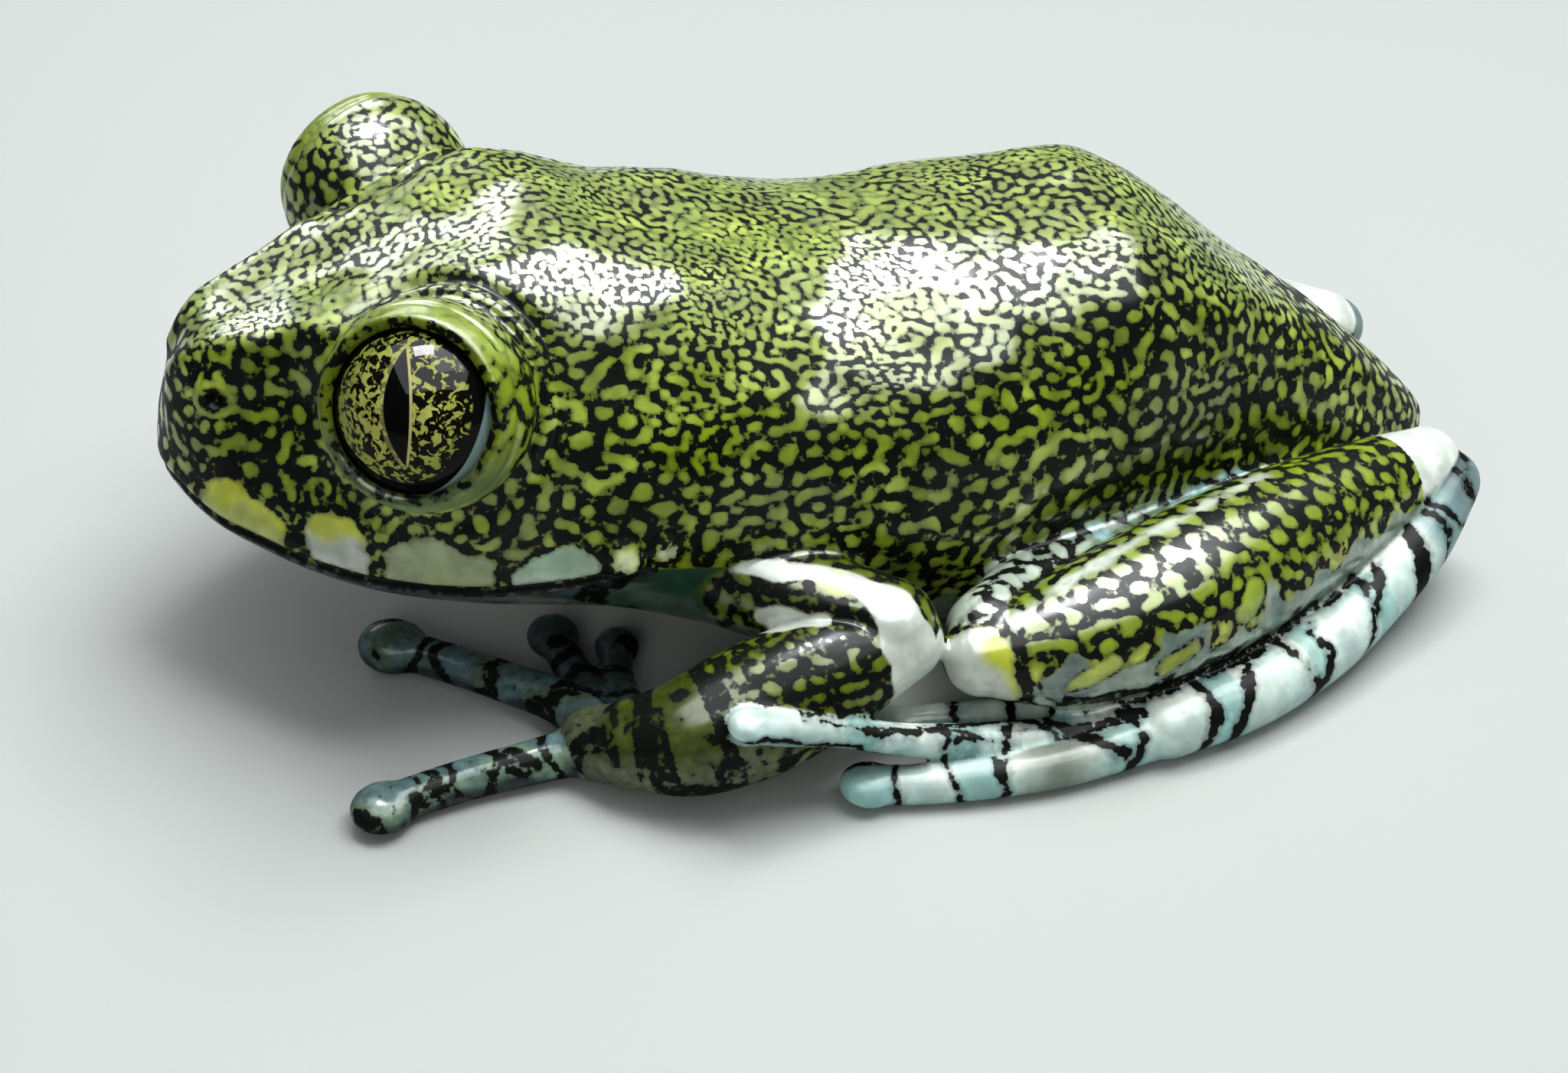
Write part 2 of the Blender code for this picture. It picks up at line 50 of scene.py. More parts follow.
# Body sections from the snout to the vent: y, top of the midline, then x and z of the ridge, the middle of
# the side, the lip or widest point, and the low edge, then the bottom of the midline.
SECTIONS = (
    (-25.0, 8.4, (0.3, 8.3), (0.5, 8.1), (0.5, 7.8), (0.3, 7.5), 7.4),
    (-24.85, 9.7, (0.8, 9.5), (1.2, 8.9), (1.3, 7.8), (0.8, 7.1), 7.0),
    (-24.5, 11.0, (1.4, 10.7), (1.9, 9.5), (2.1, 7.65), (1.3, 6.8), 6.7),
    (-24.0, 12.1, (1.8, 11.8), (2.5, 9.9), (2.9, 7.35), (1.9, 6.5), 6.3),
    (-23.2, 12.9, (2.1, 12.6), (3.0, 10.1), (3.85, 7.05), (2.6, 6.2), 5.9),
    (-22.0, 13.4, (2.4, 13.2), (3.4, 10.4), (4.8, 6.8), (3.4, 5.85), 5.4),
    (-20.5, 13.9, (2.9, 13.8), (4.2, 10.6), (5.9, 6.5), (4.2, 5.5), 4.9),
    (-18.5, 14.6, (3.8, 14.5), (5.6, 10.8), (7.0, 6.25), (5.1, 5.1), 4.4),
    (-16.3, 15.5, (4.6, 15.3), (6.9, 11.0), (7.8, 6.15), (5.8, 4.8), 4.1),
    (-14.0, 16.4, (4.9, 16.1), (7.6, 11.4), (8.4, 6.25), (6.3, 4.5), 3.8),
    (-11.5, 16.6, (4.8, 15.9), (7.9, 11.7), (8.7, 6.5), (6.6, 4.1), 3.3),
    (-9.0, 16.1, (4.6, 15.4), (7.9, 11.5), (8.8, 6.9), (6.8, 3.4), 2.4),
    (-6.0, 15.5, (4.6, 14.8), (7.9, 11.4), (8.8, 6.4), (6.8, 2.2), 1.2),
    (-2.5, 15.0, (4.4, 14.25), (7.9, 11.3), (8.9, 6.2), (6.6, 1.2), 0.1),
    (1.0, 14.9, (4.3, 14.2), (7.8, 11.2), (8.8, 6.2), (6.6, 0.8), -0.4),
    (5.0, 15.1, (4.2, 14.5), (7.3, 11.5), (8.4, 6.2), (6.2, 0.7), -0.5),
    (8.0, 15.3, (4.0, 14.85), (6.7, 11.8), (7.6, 6.2), (5.6, 0.8), -0.5),
    (10.0, 15.2, (3.8, 14.8), (6.2, 11.7), (6.9, 6.1), (5.0, 0.9), -0.4),
    (12.0, 14.3, (3.5, 13.9), (5.6, 11.0), (6.2, 5.8), (4.4, 0.9), -0.2),
    (15.0, 12.2, (3.0, 11.7), (4.6, 9.5), (5.2, 5.3), (3.8, 1.0), 0.1),
    (18.0, 10.0, (2.5, 9.5), (3.7, 7.6), (4.2, 4.5), (3.2, 1.3), 0.5),
    (21.0, 7.6, (2.1, 7.2), (2.9, 5.7), (3.2, 3.7), (2.5, 1.6), 0.9),
    (23.5, 5.4, (1.4, 5.2), (1.9, 4.4), (2.1, 3.4), (1.6, 1.9), 1.5),
    (24.8, 4.1, (0.6, 4.0), (0.8, 3.7), (0.9, 3.2), (0.7, 2.8), 2.6),
)
MOUTH_CORNER_Y = -8.9
MOUTH_BELOW_LIP = 0.05

EYE_CENTRE = Vector((7.1, -16.2, 13.4))
EYE_RADIUS = 3.04
EYE_BULGE_RADIUS = 3.6
EYE_FORWARD_DEG = 30.0
EYE_UP_DEG = {1: 26.0, -1: 13.0}
NOSTRIL = Vector((2.75, -23.05, 11.4))
# The edge from the nostril to the eye, and the hollow below it.
CANTHUS = ((1.0, -24.2, 11.6), (1.9, -22.9, 12.9), (2.5, -21.2, 13.6), (3.2, -19.6, 14.2), (4.3, -18.6, 14.8))
LORE = ((3.2, -22.4, 11.2), (3.9, -20.9, 11.8), (4.7, -19.9, 12.4))

# Limb centre lines on the left side, each point x, y, z and the limb's radius there.
UPPER_ARM = ((5.2, -7.0, 4.7, 2.2), (7.6, -5.2, 4.9, 2.0), (9.8, -2.8, 5.1, 1.8), (11.3, -0.8, 5.0, 1.75))
FOREARM = ((11.6, -0.5, 4.6, 1.6), (12.0, -3.3, 3.7, 2.2), (12.3, -5.8, 2.75, 2.4), (12.5, -8.1, 2.1, 2.15),
           (12.0, -10.0, 1.6, 1.65))
PALM = ((12.0, -9.8, 1.5, 1.55), (11.2, -11.3, 1.1, 1.35))
FINGERS = (
    ((11.7, -10.6, 1.2, 0.95), (11.3, -12.4, 0.85, 0.85), (11.45, -13.9, 0.75, 0.8), (11.7, -15.6, 0.7, 0.76),
     (12.15, -17.4, 0.7, 0.74), (12.5, -18.5, 0.7, 0.74)),
    ((11.0, -10.9, 1.2, 0.95), (8.7, -12.0, 0.9, 0.84), (7.3, -13.5, 0.8, 0.78), (6.0, -15.1, 0.75, 0.75),
     (4.6, -17.2, 0.8, 0.75)),
    ((10.6, -10.4, 1.1, 0.85), (7.6, -11.1, 0.7, 0.7), (5.0, -11.6, 0.65, 0.66)),
    ((10.4, -9.8, 1.1, 0.8), (7.6, -9.8, 0.65, 0.66), (5.9, -9.5, 0.6, 0.62)),
)
# The pads' radii and thicknesses, and how far a pad's middle lies beyond the digit's tip, as a share of its
# radius.
FINGER_PADS = ((1.12, 1.4), (1.25, 1.7), (1.0, 1.4), (0.85, 1.3))
PAD_BEYOND_TIP = 0.35

THIGH = ((2.4, 19.0, 4.0, 1.7), (4.5, 14.8, 3.65, 1.95), (6.6, 9.9, 3.55, 1.95), (9.2, 5.4, 3.8, 1.7),
         (11.2, 2.9, 4.2, 1.5))
SHIN = ((12.1, 2.5, 3.75, 1.45), (12.0, 5.35, 3.85, 2.35), (10.95, 9.0, 4.0, 2.85), (9.55, 12.3, 4.1, 2.95),
        (7.55, 16.5, 4.2, 2.6), (5.9, 20.4, 4.45, 1.95), (5.0, 22.7, 4.6, 1.45))
TARSUS = ((5.6, 23.6, 4.0, 1.3), (7.6, 21.7, 2.9, 1.3), (9.3, 19.3, 2.0, 1.3), (11.2, 16.4, 1.4, 1.35),
          (13.0, 12.7, 1.15, 1.35), (14.0, 9.2, 1.05, 1.25))
TOES = (
    ((14.1, 9.0, 0.9, 0.98), (14.9, 5.2, 0.75, 0.86), (15.05, 2.2, 0.7, 0.8), (14.9, -0.4, 0.65, 0.74),
     (14.7, -1.8, 0.7, 0.72)),
    ((13.7, 9.2, 1.0, 0.95), (13.9, 4.9, 1.1, 0.78), (14.1, 2.0, 1.6, 0.68), (14.35, -1.0, 2.4, 0.6),
     (14.35, -3.4, 3.2, 0.58), (14.65, -6.4, 4.15, 0.58)),
    ((13.1, 9.4, 1.0, 0.9), (12.3, 5.4, 0.7, 0.74), (11.9, 2.2, 0.65, 0.68), (11.7, -0.2, 0.6, 0.64)),
    ((12.8, 10.4, 1.0, 0.85), (11.0, 7.0, 0.65, 0.68), (10.2, 4.6, 0.6, 0.62)),
    ((12.4, 11.6, 1.0, 0.8), (10.2, 9.4, 0.6, 0.62), (9.0, 7.6, 0.55, 0.58)),
)
TOE_PADS = ((1.0, 1.35), (0.74, 1.02), (0.95, 1.3), (0.85, 1.2), (0.8, 1.2))

# The knee's white patch, as x, y, z and half the width, its middle, and the way to its yellow edge.
KNEE = ((12.8, 1.3, 5.2, 0.85), (13.1, 1.9, 4.3, 1.42), (13.3, 2.3, 3.4, 1.3), (13.0, 2.5, 2.6, 0.9))
KNEE_MIDDLE = (13.1, 1.9, 4.2)
KNEE_OUT = (-0.1, 0.86, 0.5)
# Light patches low on the shin: x, y, z and half the width, and the patch's colour.
SHIN_PATCHES = (
    (((13.95, 3.95, 3.7, 0.3), (13.7, 4.5, 2.9, 0.45), (13.6, 4.9, 2.5, 0.3)), (0.4, 0.5, 0.4)),
    (((14.1, 4.9, 3.7, 0.35), (14.2, 5.6, 4.2, 0.45), (14.1, 6.6, 4.5, 0.3)), (0.42, 0.5, 0.05)),
    (((13.8, 8.9, 3.8, 0.5), (13.6, 9.8, 4.3, 0.45)), (0.3, 0.36, 0.02)),
    (((12.7, 12.0, 4.9, 0.45), (12.2, 12.6, 5.5, 0.5)), (0.3, 0.4, 0.03)),
)
# A painted highlight along the top of the shin.
SHIN_HIGHLIGHT_LINE = ((12.4, 3.6, 5.6), (11.4, 5.8, 6.3), (10.2, 8.6, 6.9), (8.9, 11.6, 7.1), (7.4, 14.6, 6.9))

# The camera of the photo: it looks at a point from a distance, seen from the frog's left and a little ahead.
CAMERA_TARGET = Vector((-14.9, 2.6, -11.7))
CAMERA_DISTANCE = 120.0
CAMERA_ELEVATION_DEG = 38.0
CAMERA_AHEAD_DEG = 15.9
CAMERA_ROLL_DEG = 3.6
LENS_MM = 58.13
SENSOR_MM = 36.0

# Colours of the lights, the air and the floor.
COOL = (0.95, 0.98, 1)
GLINT = (0.97, 0.99, 1)
WARM = (1, 0.98, 0.95)
AIR = (0.8, 0.88, 1, 1)
FLOOR = (0.44, 0.46, 0.43, 1)

BALL_SEGMENTS = 48
LIMB_SIDES = 32
DIGIT_SIDES = 20
ROUGH_VOXEL = 0.15
SKIN_VOXEL = 0.1
SKIN_SMOOTHING = 7

# The eye's parts, as angles from the way it looks. The pupil is a slit whose long way is PUPIL_UP.
SOCKET_RADIUS = 3.1
SOCKET_BACK = -0.9
CUTTER_REACH = 5.0
CUTTER_TOP = 6.0
EYE_BACK = -0.5
OPENING_DEG = {1: 60.5, -1: 51.0}
LID_RING_BEYOND_DEG = 2.2
LID_RING_RADIUS = 3.32
LID_RING_THICKNESS = 0.17
PUPIL_WAY = Vector((0.75, -0.37, 0.54))
PUPIL_UP = Vector((-0.545, 0.102, 0.832))
PUPIL_HALF_LENGTH_DEG = 39.0
PUPIL_HALF_WIDTH_DEG = 10.5
IRIS_DEG = 53.5
# The pale sliver of the lower lid: its middle, turned from the iris's right, and its edge, from the gaze.
MEMBRANE_TURN_DEG = -32.0
MEMBRANE_FROM_DEG = 54.5
# It gives the right iris a pattern of its own.
RIGHT_IRIS_OFFSET = 40.0

# Wavelengths of the dark net: on the flanks and the face, and on the back and the top of the head.
NET_FLANK = 0.86
NET_BACK = 0.52
NET_ROUNDS = 3
NET_GAIN = 1.5
NET_BIAS = -0.8
NET_OPEN = 0.4
NET_HEIGHT = 0.16
# How far the net's gain and its loss reach, as shares of the wavelength, and the largest share of a smoothing
# step that stays even.
NET_GAIN_REACH = 0.153
NET_LOSS_REACH = 0.306
NET_STEP = 0.62

# The field of skin that has no net.
PLAIN = 0.3

# Colours of the skin, linear.
BLACK = (0.003, 0.004, 0.0025)
LIME = np.array((0.23, 0.31, 0.012))
BRIGHT = np.array((0.42, 0.52, 0.06))
# A pale lime mixed over the upper back as a painted sheen.
SHEEN_LIME = np.array((0.46, 0.54, 0.24))
OLIVE = np.array((0.12, 0.155, 0.01))
YELLOW = np.array((0.5, 0.55, 0.03))
SAGE = np.array((0.26, 0.31, 0.15))
MINT = np.array((0.28, 0.42, 0.28))
WHITE = np.array((0.72, 0.78, 0.68))
SKY = np.array((0.36, 0.60, 0.58))
TURQUOISE = np.array((0.17, 0.42, 0.38))
GREY_BLUE = np.array((0.16, 0.27, 0.27))
SLATE = np.array((0.05, 0.085, 0.09))
BELLY = np.array((0.20, 0.25, 0.17))
TEAL = np.array((0.018, 0.06, 0.035))
SHIN_PALE = np.array((0.25, 0.32, 0.24))
SHIN_CLOUD = np.array((0.14, 0.21, 0.17))
# The long toe's own grey, darkened further as painted shade.
TOE_GREY_AND_SHADE = np.array((0.14, 0.16, 0.115))
HEEL_GREY = np.array((0.16, 0.22, 0.21))

# Colours of the eye.
IRIS_NET = (0.004, 0.004, 0.002)
IRIS_EDGE = (0.003, 0.003, 0.003)
PUPIL = (0.002, 0.002, 0.002)
GOLD_DARK = (0.26, 0.27, 0.025)
GOLD_LIGHT = (0.7, 0.71, 0.18)
GOLD_RIM = (0.28, 0.32, 0.05)
PUPIL_RIM = (0.55, 0.52, 0.2)
MEMBRANE = (0.25, 0.36, 0.36)

# The skin is dry and dull along this line behind the head, and at these spots: x, y, z and radius.
DRY_LINE = ((1.5, -3.2, 15.2), (7.5, -7.0, 12.5))
DRY_SPOTS = ((-2.9, -14.6, 16.2, 2.4), (2.0, -19.4, 14.3, 1.7))

# Patches of the upper lip: y at the front and the back, height above the mouth line, where along it the patch
# is highest, and its colour below and above.
LIP_PATCHES = (
    (-23.8, -21.1, 1.8, 0.35, (SAGE + YELLOW) / 2, YELLOW),
    (-20.6, -18.3, 2.3, 0.6, 0.62 * WHITE, YELLOW),
    (-18.0, -14.2, 2.1, 0.3, SAGE, SAGE),
    (-13.8, -10.8, 1.35, 0.5, 0.45 * (MINT + WHITE), MINT),
)
# The bumps behind the mouth corner: x, y, z, radius and height.
TUBERCLES = ((8.75, -9.85, 7.45, 0.78, 0.42), (8.8, -8.35, 7.65, 0.6, 0.32))

# The white band round the arm, the dark line inside it, the pale patch below that and the
# yellow spot: x, y, z and, but for the spot, half the width.
ARM_BAND = ((8.6, -6.2, 6.3, 0.12), (9.29, -4.9, 6.58, 0.35), (9.95, -3.42, 6.79, 0.45),
            (10.9, -2.0, 6.77, 0.5), (12.0, -1.0, 6.4, 0.75), (12.75, -0.6, 5.5, 1.05),
            (13.0, -0.4, 4.5, 1.15), (12.9, -0.5, 3.6, 0.85))
ARM_LINE = ((9.3, -6.0, 5.9, 0.2), (10.16, -4.54, 6.19, 0.2), (10.8, -3.3, 6.45, 0.22),
            (11.4, -2.8, 6.4, 0.3), (12.1, -2.5, 6.0, 0.38), (12.9, -2.3, 4.9, 0.3))
ARM_PATCH = ((10.4, -5.3, 5.2, 0.4), (11.0, -4.35, 5.4, 0.58), (11.55, -3.5, 5.7, 0.4))
ARM_SPOT = (10.75, -2.75, 6.6)
# The dark hollow before the thigh: its middle and its radii.
GROIN = (7.0, 11.0, 8.2)
GROIN_RADII = (2.5, 4.0, 1.6)

# Dark cross bands of the limbs: the length along the limb's line, half the band's width, and its lean.
BANDS = {
    "forearm": ((7.1, 0.42, 0.5), (8.75, 0.4, -0.3), (10.6, 0.36, 0.3)),
    "finger0": ((0.7, 0.28, 0.2), (2.4, 0.26, -0.3), (4.7, 0.26, 0.3), (5.6, 0.1, -0.5), (6.5, 0.24, -0.2),
                (7.7, 0.1, 0.3)),
    "finger1": ((2.3, 0.36, -0.2), (5.6, 0.26, 0.3), (7.2, 0.2, -0.5), (8.5, 0.2, 0.2)),
    "finger2": ((1.4, 0.3, 0.2), (2.9, 0.3, -0.2), (4.4, 0.28, 0.2)),
    "finger3": ((1.2, 0.3, 0.2), (2.7, 0.28, -0.2)),
    "tarsus": ((0.75, 0.14, 0.5), (1.75, 0.13, -0.4), (3.0, 0.14, 0.5)),
    "toe0": ((6.7, 0.2, 0.1), (8.3, 0.12, -0.15), (10.35, 0.11, 0.1)),
    "toe1": ((2.0, 0.2, 0.3), (4.2, 0.2, -0.3), (6.6, 0.16, 0.2), (8.8, 0.14, -0.2)),
    "toe2": ((1.6, 0.2, 0.2), (3.8, 0.2, -0.3), (6.0, 0.18, 0.2), (8.0, 0.14, 0.2)),
    "toe3": ((1.6, 0.2, 0.2), (3.6, 0.2, -0.3), (5.4, 0.16, 0.2)),
    "toe4": ((1.4, 0.2, 0.2), (3.2, 0.18, -0.3)),
}
# Dark lines across the foot that fork or bend: polylines of x, y, z and half the line's width.
FOOT_LINES = (
    ((13.9, 4.9, 1.75, 0.16), (14.39, 5.48, 1.69, 0.18), (15.01, 6.29, 1.6, 0.16), (15.32, 7.2, 1.15, 0.18)),
    ((13.9, 7.4, 1.8, 0.14), (14.37, 7.74, 1.77, 0.16), (15.05, 7.89, 1.44, 0.14), (15.33, 7.4, 0.7, 0.2),
     (14.9, 7.2, 0.1, 0.2)),
    ((13.2, 10.2, 2.3, 0.2), (13.86, 10.54, 2.34, 0.2), (14.53, 10.79, 1.96, 0.18), (14.93, 10.51, 1.25, 0.2),
     (14.6, 10.2, 0.2, 0.2)),
    ((13.0, 12.6, 2.35, 0.16), (13.58, 12.28, 2.37, 0.24), (14.2, 12.16, 2.0, 0.16), (14.67, 11.69, 1.0, 0.2),
     (14.3, 11.5, 0.1, 0.2)),
    ((12.0, 14.0, 2.4, 0.16), (12.62, 14.45, 2.5, 0.18), (13.25, 15.4, 1.4, 0.2)),
    ((11.2, 15.7, 2.6, 0.16), (11.86, 15.42, 2.64, 0.18), (12.43, 16.11, 2.27, 0.17),
     (13.0, 15.8, 1.55, 0.17), (13.3, 15.2, 0.6, 0.2)),
    ((9.5, 18.0, 3.0, 0.1), (9.92, 18.29, 3.04, 0.14), (11.32, 18.29, 2.31, 0.18), (12.0, 18.0, 1.2, 0.12)),
    ((9.2, 19.1, 3.2, 0.1), (9.61, 19.08, 3.23, 0.14), (11.32, 18.29, 2.31, 0.16)),
    ((7.9, 20.8, 3.9, 0.14), (8.5, 20.83, 3.8, 0.24), (9.38, 21.04, 3.15, 0.38), (9.6, 20.9, 2.1, 0.3)),
)
# Where the foot's narrow turquoise tiles are: the limb, the length along it, and half the tile's length.
TURQUOISE_TILES = (("toe0", 2.0, 0.9), ("toe0", 7.5, 0.9), ("toe0", 11.5, 1.2), ("tarsus", 15.3, 0.75),
                   ("tarsus", 11.0, 0.5), ("tarsus", 7.0, 0.7))


def catmull(a, b, c, d, t):
    """The Catmull-Rom value between b and c, for numbers or vectors."""
    bend, twist = 2 * a - 5 * b + 4 * c - d, 3 * b - a - 3 * c + d
    return 0.5 * (2 * b + (c - a) * t + bend * t * t + twist * t ** 3)


def smooth_line(points, steps, closed=False):
    """Points on a smooth curve through the given vectors, with some steps between each two."""
    count = len(points)
    found = []
    for i in range(count if closed else count - 1):
        if closed:
            a, b, c, d = (points[(i + k) % count] for k in (-1, 0, 1, 2))
        else:
            b, c = points[i], points[i + 1]
            a = points[i - 1] if i else 2 * b - c
            d = points[i + 2] if i + 2 < count else 2 * c - b
        found += [catmull(a, b, c, d, k / steps) for k in range(steps)]
    return found if closed else found + [points[-1]]


def add_object(name, data):
    obj = bpy.data.objects.new(name, data)
    bpy.context.scene.collection.objects.link(obj)
    return obj


def mesh_object(name, bm):
    mesh = bpy.data.meshes.new(name)
    bm.to_mesh(mesh)
    bm.free()
    return add_object(name, mesh)


def applied(obj, name):
    """A new mesh object with obj's modifiers and placing applied, which takes its place."""
    bpy.context.view_layer.update()
    graph = bpy.context.evaluated_depsgraph_get()
    mesh = bpy.data.meshes.new_from_object(obj.evaluated_get(graph))
    mesh.transform(obj.matrix_world)
    bpy.data.objects.remove(obj)
    return add_object(name, mesh)


def mirrored(point, side):
    return Vector((side * point[0], *point[1:]))


def side_line(line, side):
    return [mirrored(p, side) for p in line]


def gaze(side):
    """The way the eye looks out, as a unit vector. side is 1 for the left and -1 for the right."""
    up, forward = math.radians(EYE_UP_DEG[side]), math.radians(EYE_FORWARD_DEG)
    return Vector((side * math.cos(up) * math.cos(forward), -math.cos(up) * math.sin(forward), math.sin(up)))


def body_loft():
    """The head and trunk in one, lofted through the sections."""
    rows = []
    for y, top, ridge, side, wide, low, bottom in SECTIONS:
        half = [ridge, side, wide, low]
        outline = [(0.0, top)] + half + [(0.0, bottom)] + [(-x, z) for x, z in reversed(half)]
        rows.append([Vector((x, y, z)) for x, z in outline])
    columns = [smooth_line([row[k] for row in rows], 6) for k in range(len(rows[0]))]
    bm = bmesh.new()
    rings = [[bm.verts.new(p * MM) for p in smooth_line(list(points), 10, closed=True)]
             for points in zip(*columns)]
    for a, b in zip(rings, rings[1:]):
        for k in range(len(a)):
            bm.faces.new((a[k - 1], a[k], b[k], b[k - 1]))
    bm.faces.new(rings[0])
    bm.faces.new(reversed(rings[-1]))
    bmesh.ops.recalc_face_normals(bm, faces=bm.faces)
    return mesh_object("body_loft", bm)


def ball(centre, radii, turn=Matrix.Identity(3)):
    """An ellipsoid whose radii run along the axes of the rotation matrix turn."""
    bm = bmesh.new()
    bmesh.ops.create_uvsphere(bm, u_segments=BALL_SEGMENTS, v_segments=BALL_SEGMENTS // 2, radius=MM)
    matrix = Matrix.Translation(Vector(centre) * MM) @ turn.to_4x4() @ Matrix.Diagonal((*radii, 1))
    bmesh.ops.transform(bm, matrix=matrix, verts=bm.verts)
    return mesh_object("ball", bm)


def tube(line, sides):
    """A limb with round ends: a bevelled curve through the points, each with its own radius."""
    points = smooth_line([Vector(p) for p in line], 8)
    caps = []
    for end, inner in ((points[0], points[1]), (points[-1], points[-2])):
        out = (end.xyz - inner.xyz).normalized()
        turns = [math.radians(angle) for angle in (15, 30, 45, 60, 75, 86)]
        caps.append([Vector((*(end.xyz + out * end.w * math.sin(a)), end.w * math.cos(a))) for a in turns])
    points = caps[0][::-1] + points + caps[1]
    data = bpy.data.curves.new("tube", "CURVE")
    data.dimensions = "3D"
    data.bevel_depth = MM
    data.bevel_resolution = (sides - 4) // 2
    data.use_fill_caps = True
    spline = data.splines.new("POLY")
    spline.points.add(len(points) - 1)
    for spot, p in zip(spline.points, points):
        spot.co = (*(p.xyz * MM), 1)
        spot.radius = p.w
    obj = applied(add_object("tube", data), "tube")
    bm = bmesh.new()
    bm.from_mesh(obj.data)
    bpy.data.objects.remove(obj)
    bmesh.ops.remove_doubles(bm, verts=bm.verts, dist=0.001 * MM)
    bmesh.ops.recalc_face_normals(bm, faces=bm.faces)
    return mesh_object("tube", bm)


def pad(line, radius, thickness):
    """The pad at a digit's end: round from above and a little flattened."""
    ahead = (line[-1].xyz - line[-2].xyz).normalized()
    turn = ahead.to_track_quat("X", "Z").to_matrix()
    return ball(line[-1].xyz + ahead * radius * PAD_BEYOND_TIP, (radius * 1.08, radius, thickness / 2), turn)


def digits(lines, pads, side):
    pieces = []
    for line, (radius, thickness) in zip(lines, pads):
        line = side_line(line, side)
        pieces += [tube(line, DIGIT_SIDES), pad(line, radius, thickness)]
    return pieces


def vertex_values(mesh, key):
    found = np.empty(len(mesh.vertices) * 3, np.float32)
    mesh.vertices.foreach_get(key, found)
    return found.reshape(-1, 3).astype(np.float64)


def points_of(mesh):
    return vertex_values(mesh, "co") / MM


def ramp(low, high, values):
    """A smooth step from 0 at low to 1 at high."""
    t = np.clip((values - low) / (high - low), 0, 1)
    return t * t * (3 - 2 * t)


def bell(values, width):
    return np.exp(-((values / width) ** 2))


def distance(points, spot):
    return np.linalg.norm(points - np.array(spot), axis=1)


def fold_left(points):
    """The points with those of the right side mirrored to the left, and which ones those are."""
    right = points[:, 0] <= 0
    return points * np.where(right[:, None], (-1.0, 1.0, 1.0), 1.0), right


def seen_from_eye(points, right):
    """For points mirrored to the left: how far each is from the eye's centre, the way to it, and the degrees
    between that way and the gaze of the eye of its own side."""
    away = distance(points, EYE_CENTRE)
    way = (points - np.array(EYE_CENTRE)) / np.maximum(away, 1e-6)[:, None]
    looks = np.array((gaze(1), mirrored(gaze(-1), -1)))[right.astype(int)]
    return away, way, np.degrees(np.arccos(np.clip((way * looks).sum(1), -1, 1)))


def waves(rng, points, size):
    """A smooth random field over the points, with features of about the given size, mean 0 and spread 1."""
    found = np.zeros(len(points))
    for _ in range(24):
        way = rng.standard_normal(3)
        way *= rng.uniform(0.6, 1.4) * math.pi / size / np.linalg.norm(way)
        found += np.cos(points @ way + rng.uniform(0, 2 * math.pi))
    return (found - found.mean()) / found.std()


class Neighbours:
    """Averages of a value over each vertex's neighbours along the mesh's edges."""

    def __init__(self, mesh):
        ends = np.empty(len(mesh.edges) * 2, np.int32)
        mesh.edges.foreach_get("vertices", ends)
        a, b = ends.reshape(-1, 2).T
        self.here = np.concatenate((a, b))
        self.there = np.concatenate((b, a))
        self.count = len(mesh.vertices)
        self.share = 1 / np.maximum(np.bincount(self.here, minlength=self.count), 1)
        spots = points_of(mesh)
        gaps = np.linalg.norm(spots[a] - spots[b], axis=1)
        self.step = float(np.median(gaps))

    def mean(self, values):
        return np.bincount(self.here, weights=values[self.there], minlength=self.count) * self.share

    def smooth(self, values, amount, rounds):
        for _ in range(rounds):
            values = values + amount * (self.mean(values) - values)
        return values

    def noise(self, rng, size):
        """A smooth random field with features of about the given size, mean 0 and spread 1."""
        rounds = max(1, round(2 * (size * 0.35 / self.step) ** 2 / 0.7))
        found = self.smooth(rng.standard_normal(self.count), 0.7, rounds)
        return (found - found.mean()) / found.std()

    def net(self, rng, lengths, open_share):
        """A field that is positive on islands and negative on the net between them, which parts the skin by
        short-range gain and longer-range loss. lengths holds the net's wavelength at each vertex."""
        widest = float(lengths.max())
        amount = NET_STEP * (lengths / widest) ** 2
        near_rounds, far_rounds = (round(2 * (reach * widest / self.step) ** 2 / NET_STEP)
                                   for reach in (NET_GAIN_REACH, NET_LOSS_REACH))
        near_rounds = max(1, near_rounds)
        far_rounds = max(2, far_rounds) - near_rounds
        values = rng.standard_normal(self.count)
        for _ in range(NET_ROUNDS):
            near = self.smooth(values, amount, near_rounds)
            found = near - self.smooth(near, amount, far_rounds)
            values = np.tanh(NET_GAIN * found / found.std() + NET_BIAS)
        near = self.smooth(values, amount, max(1, near_rounds // 2))
        found = near - self.smooth(near, amount, far_rounds)
        return (found / found.std() + open_share) * NET_HEIGHT


def mouth_height(y):
    """The height of the mouth line at each y, from the lips of the sections."""
    ys = [-30.0, -25.3] + [row[0] for row in SECTIONS if -25 < row[0] < MOUTH_CORNER_Y]
    zs = [7.6, 7.5] + [row[4][1] - MOUTH_BELOW_LIP for row in SECTIONS if -25 < row[0] < MOUTH_CORNER_Y]
    return np.interp(y, ys + [MOUTH_CORNER_Y], zs + [6.85])


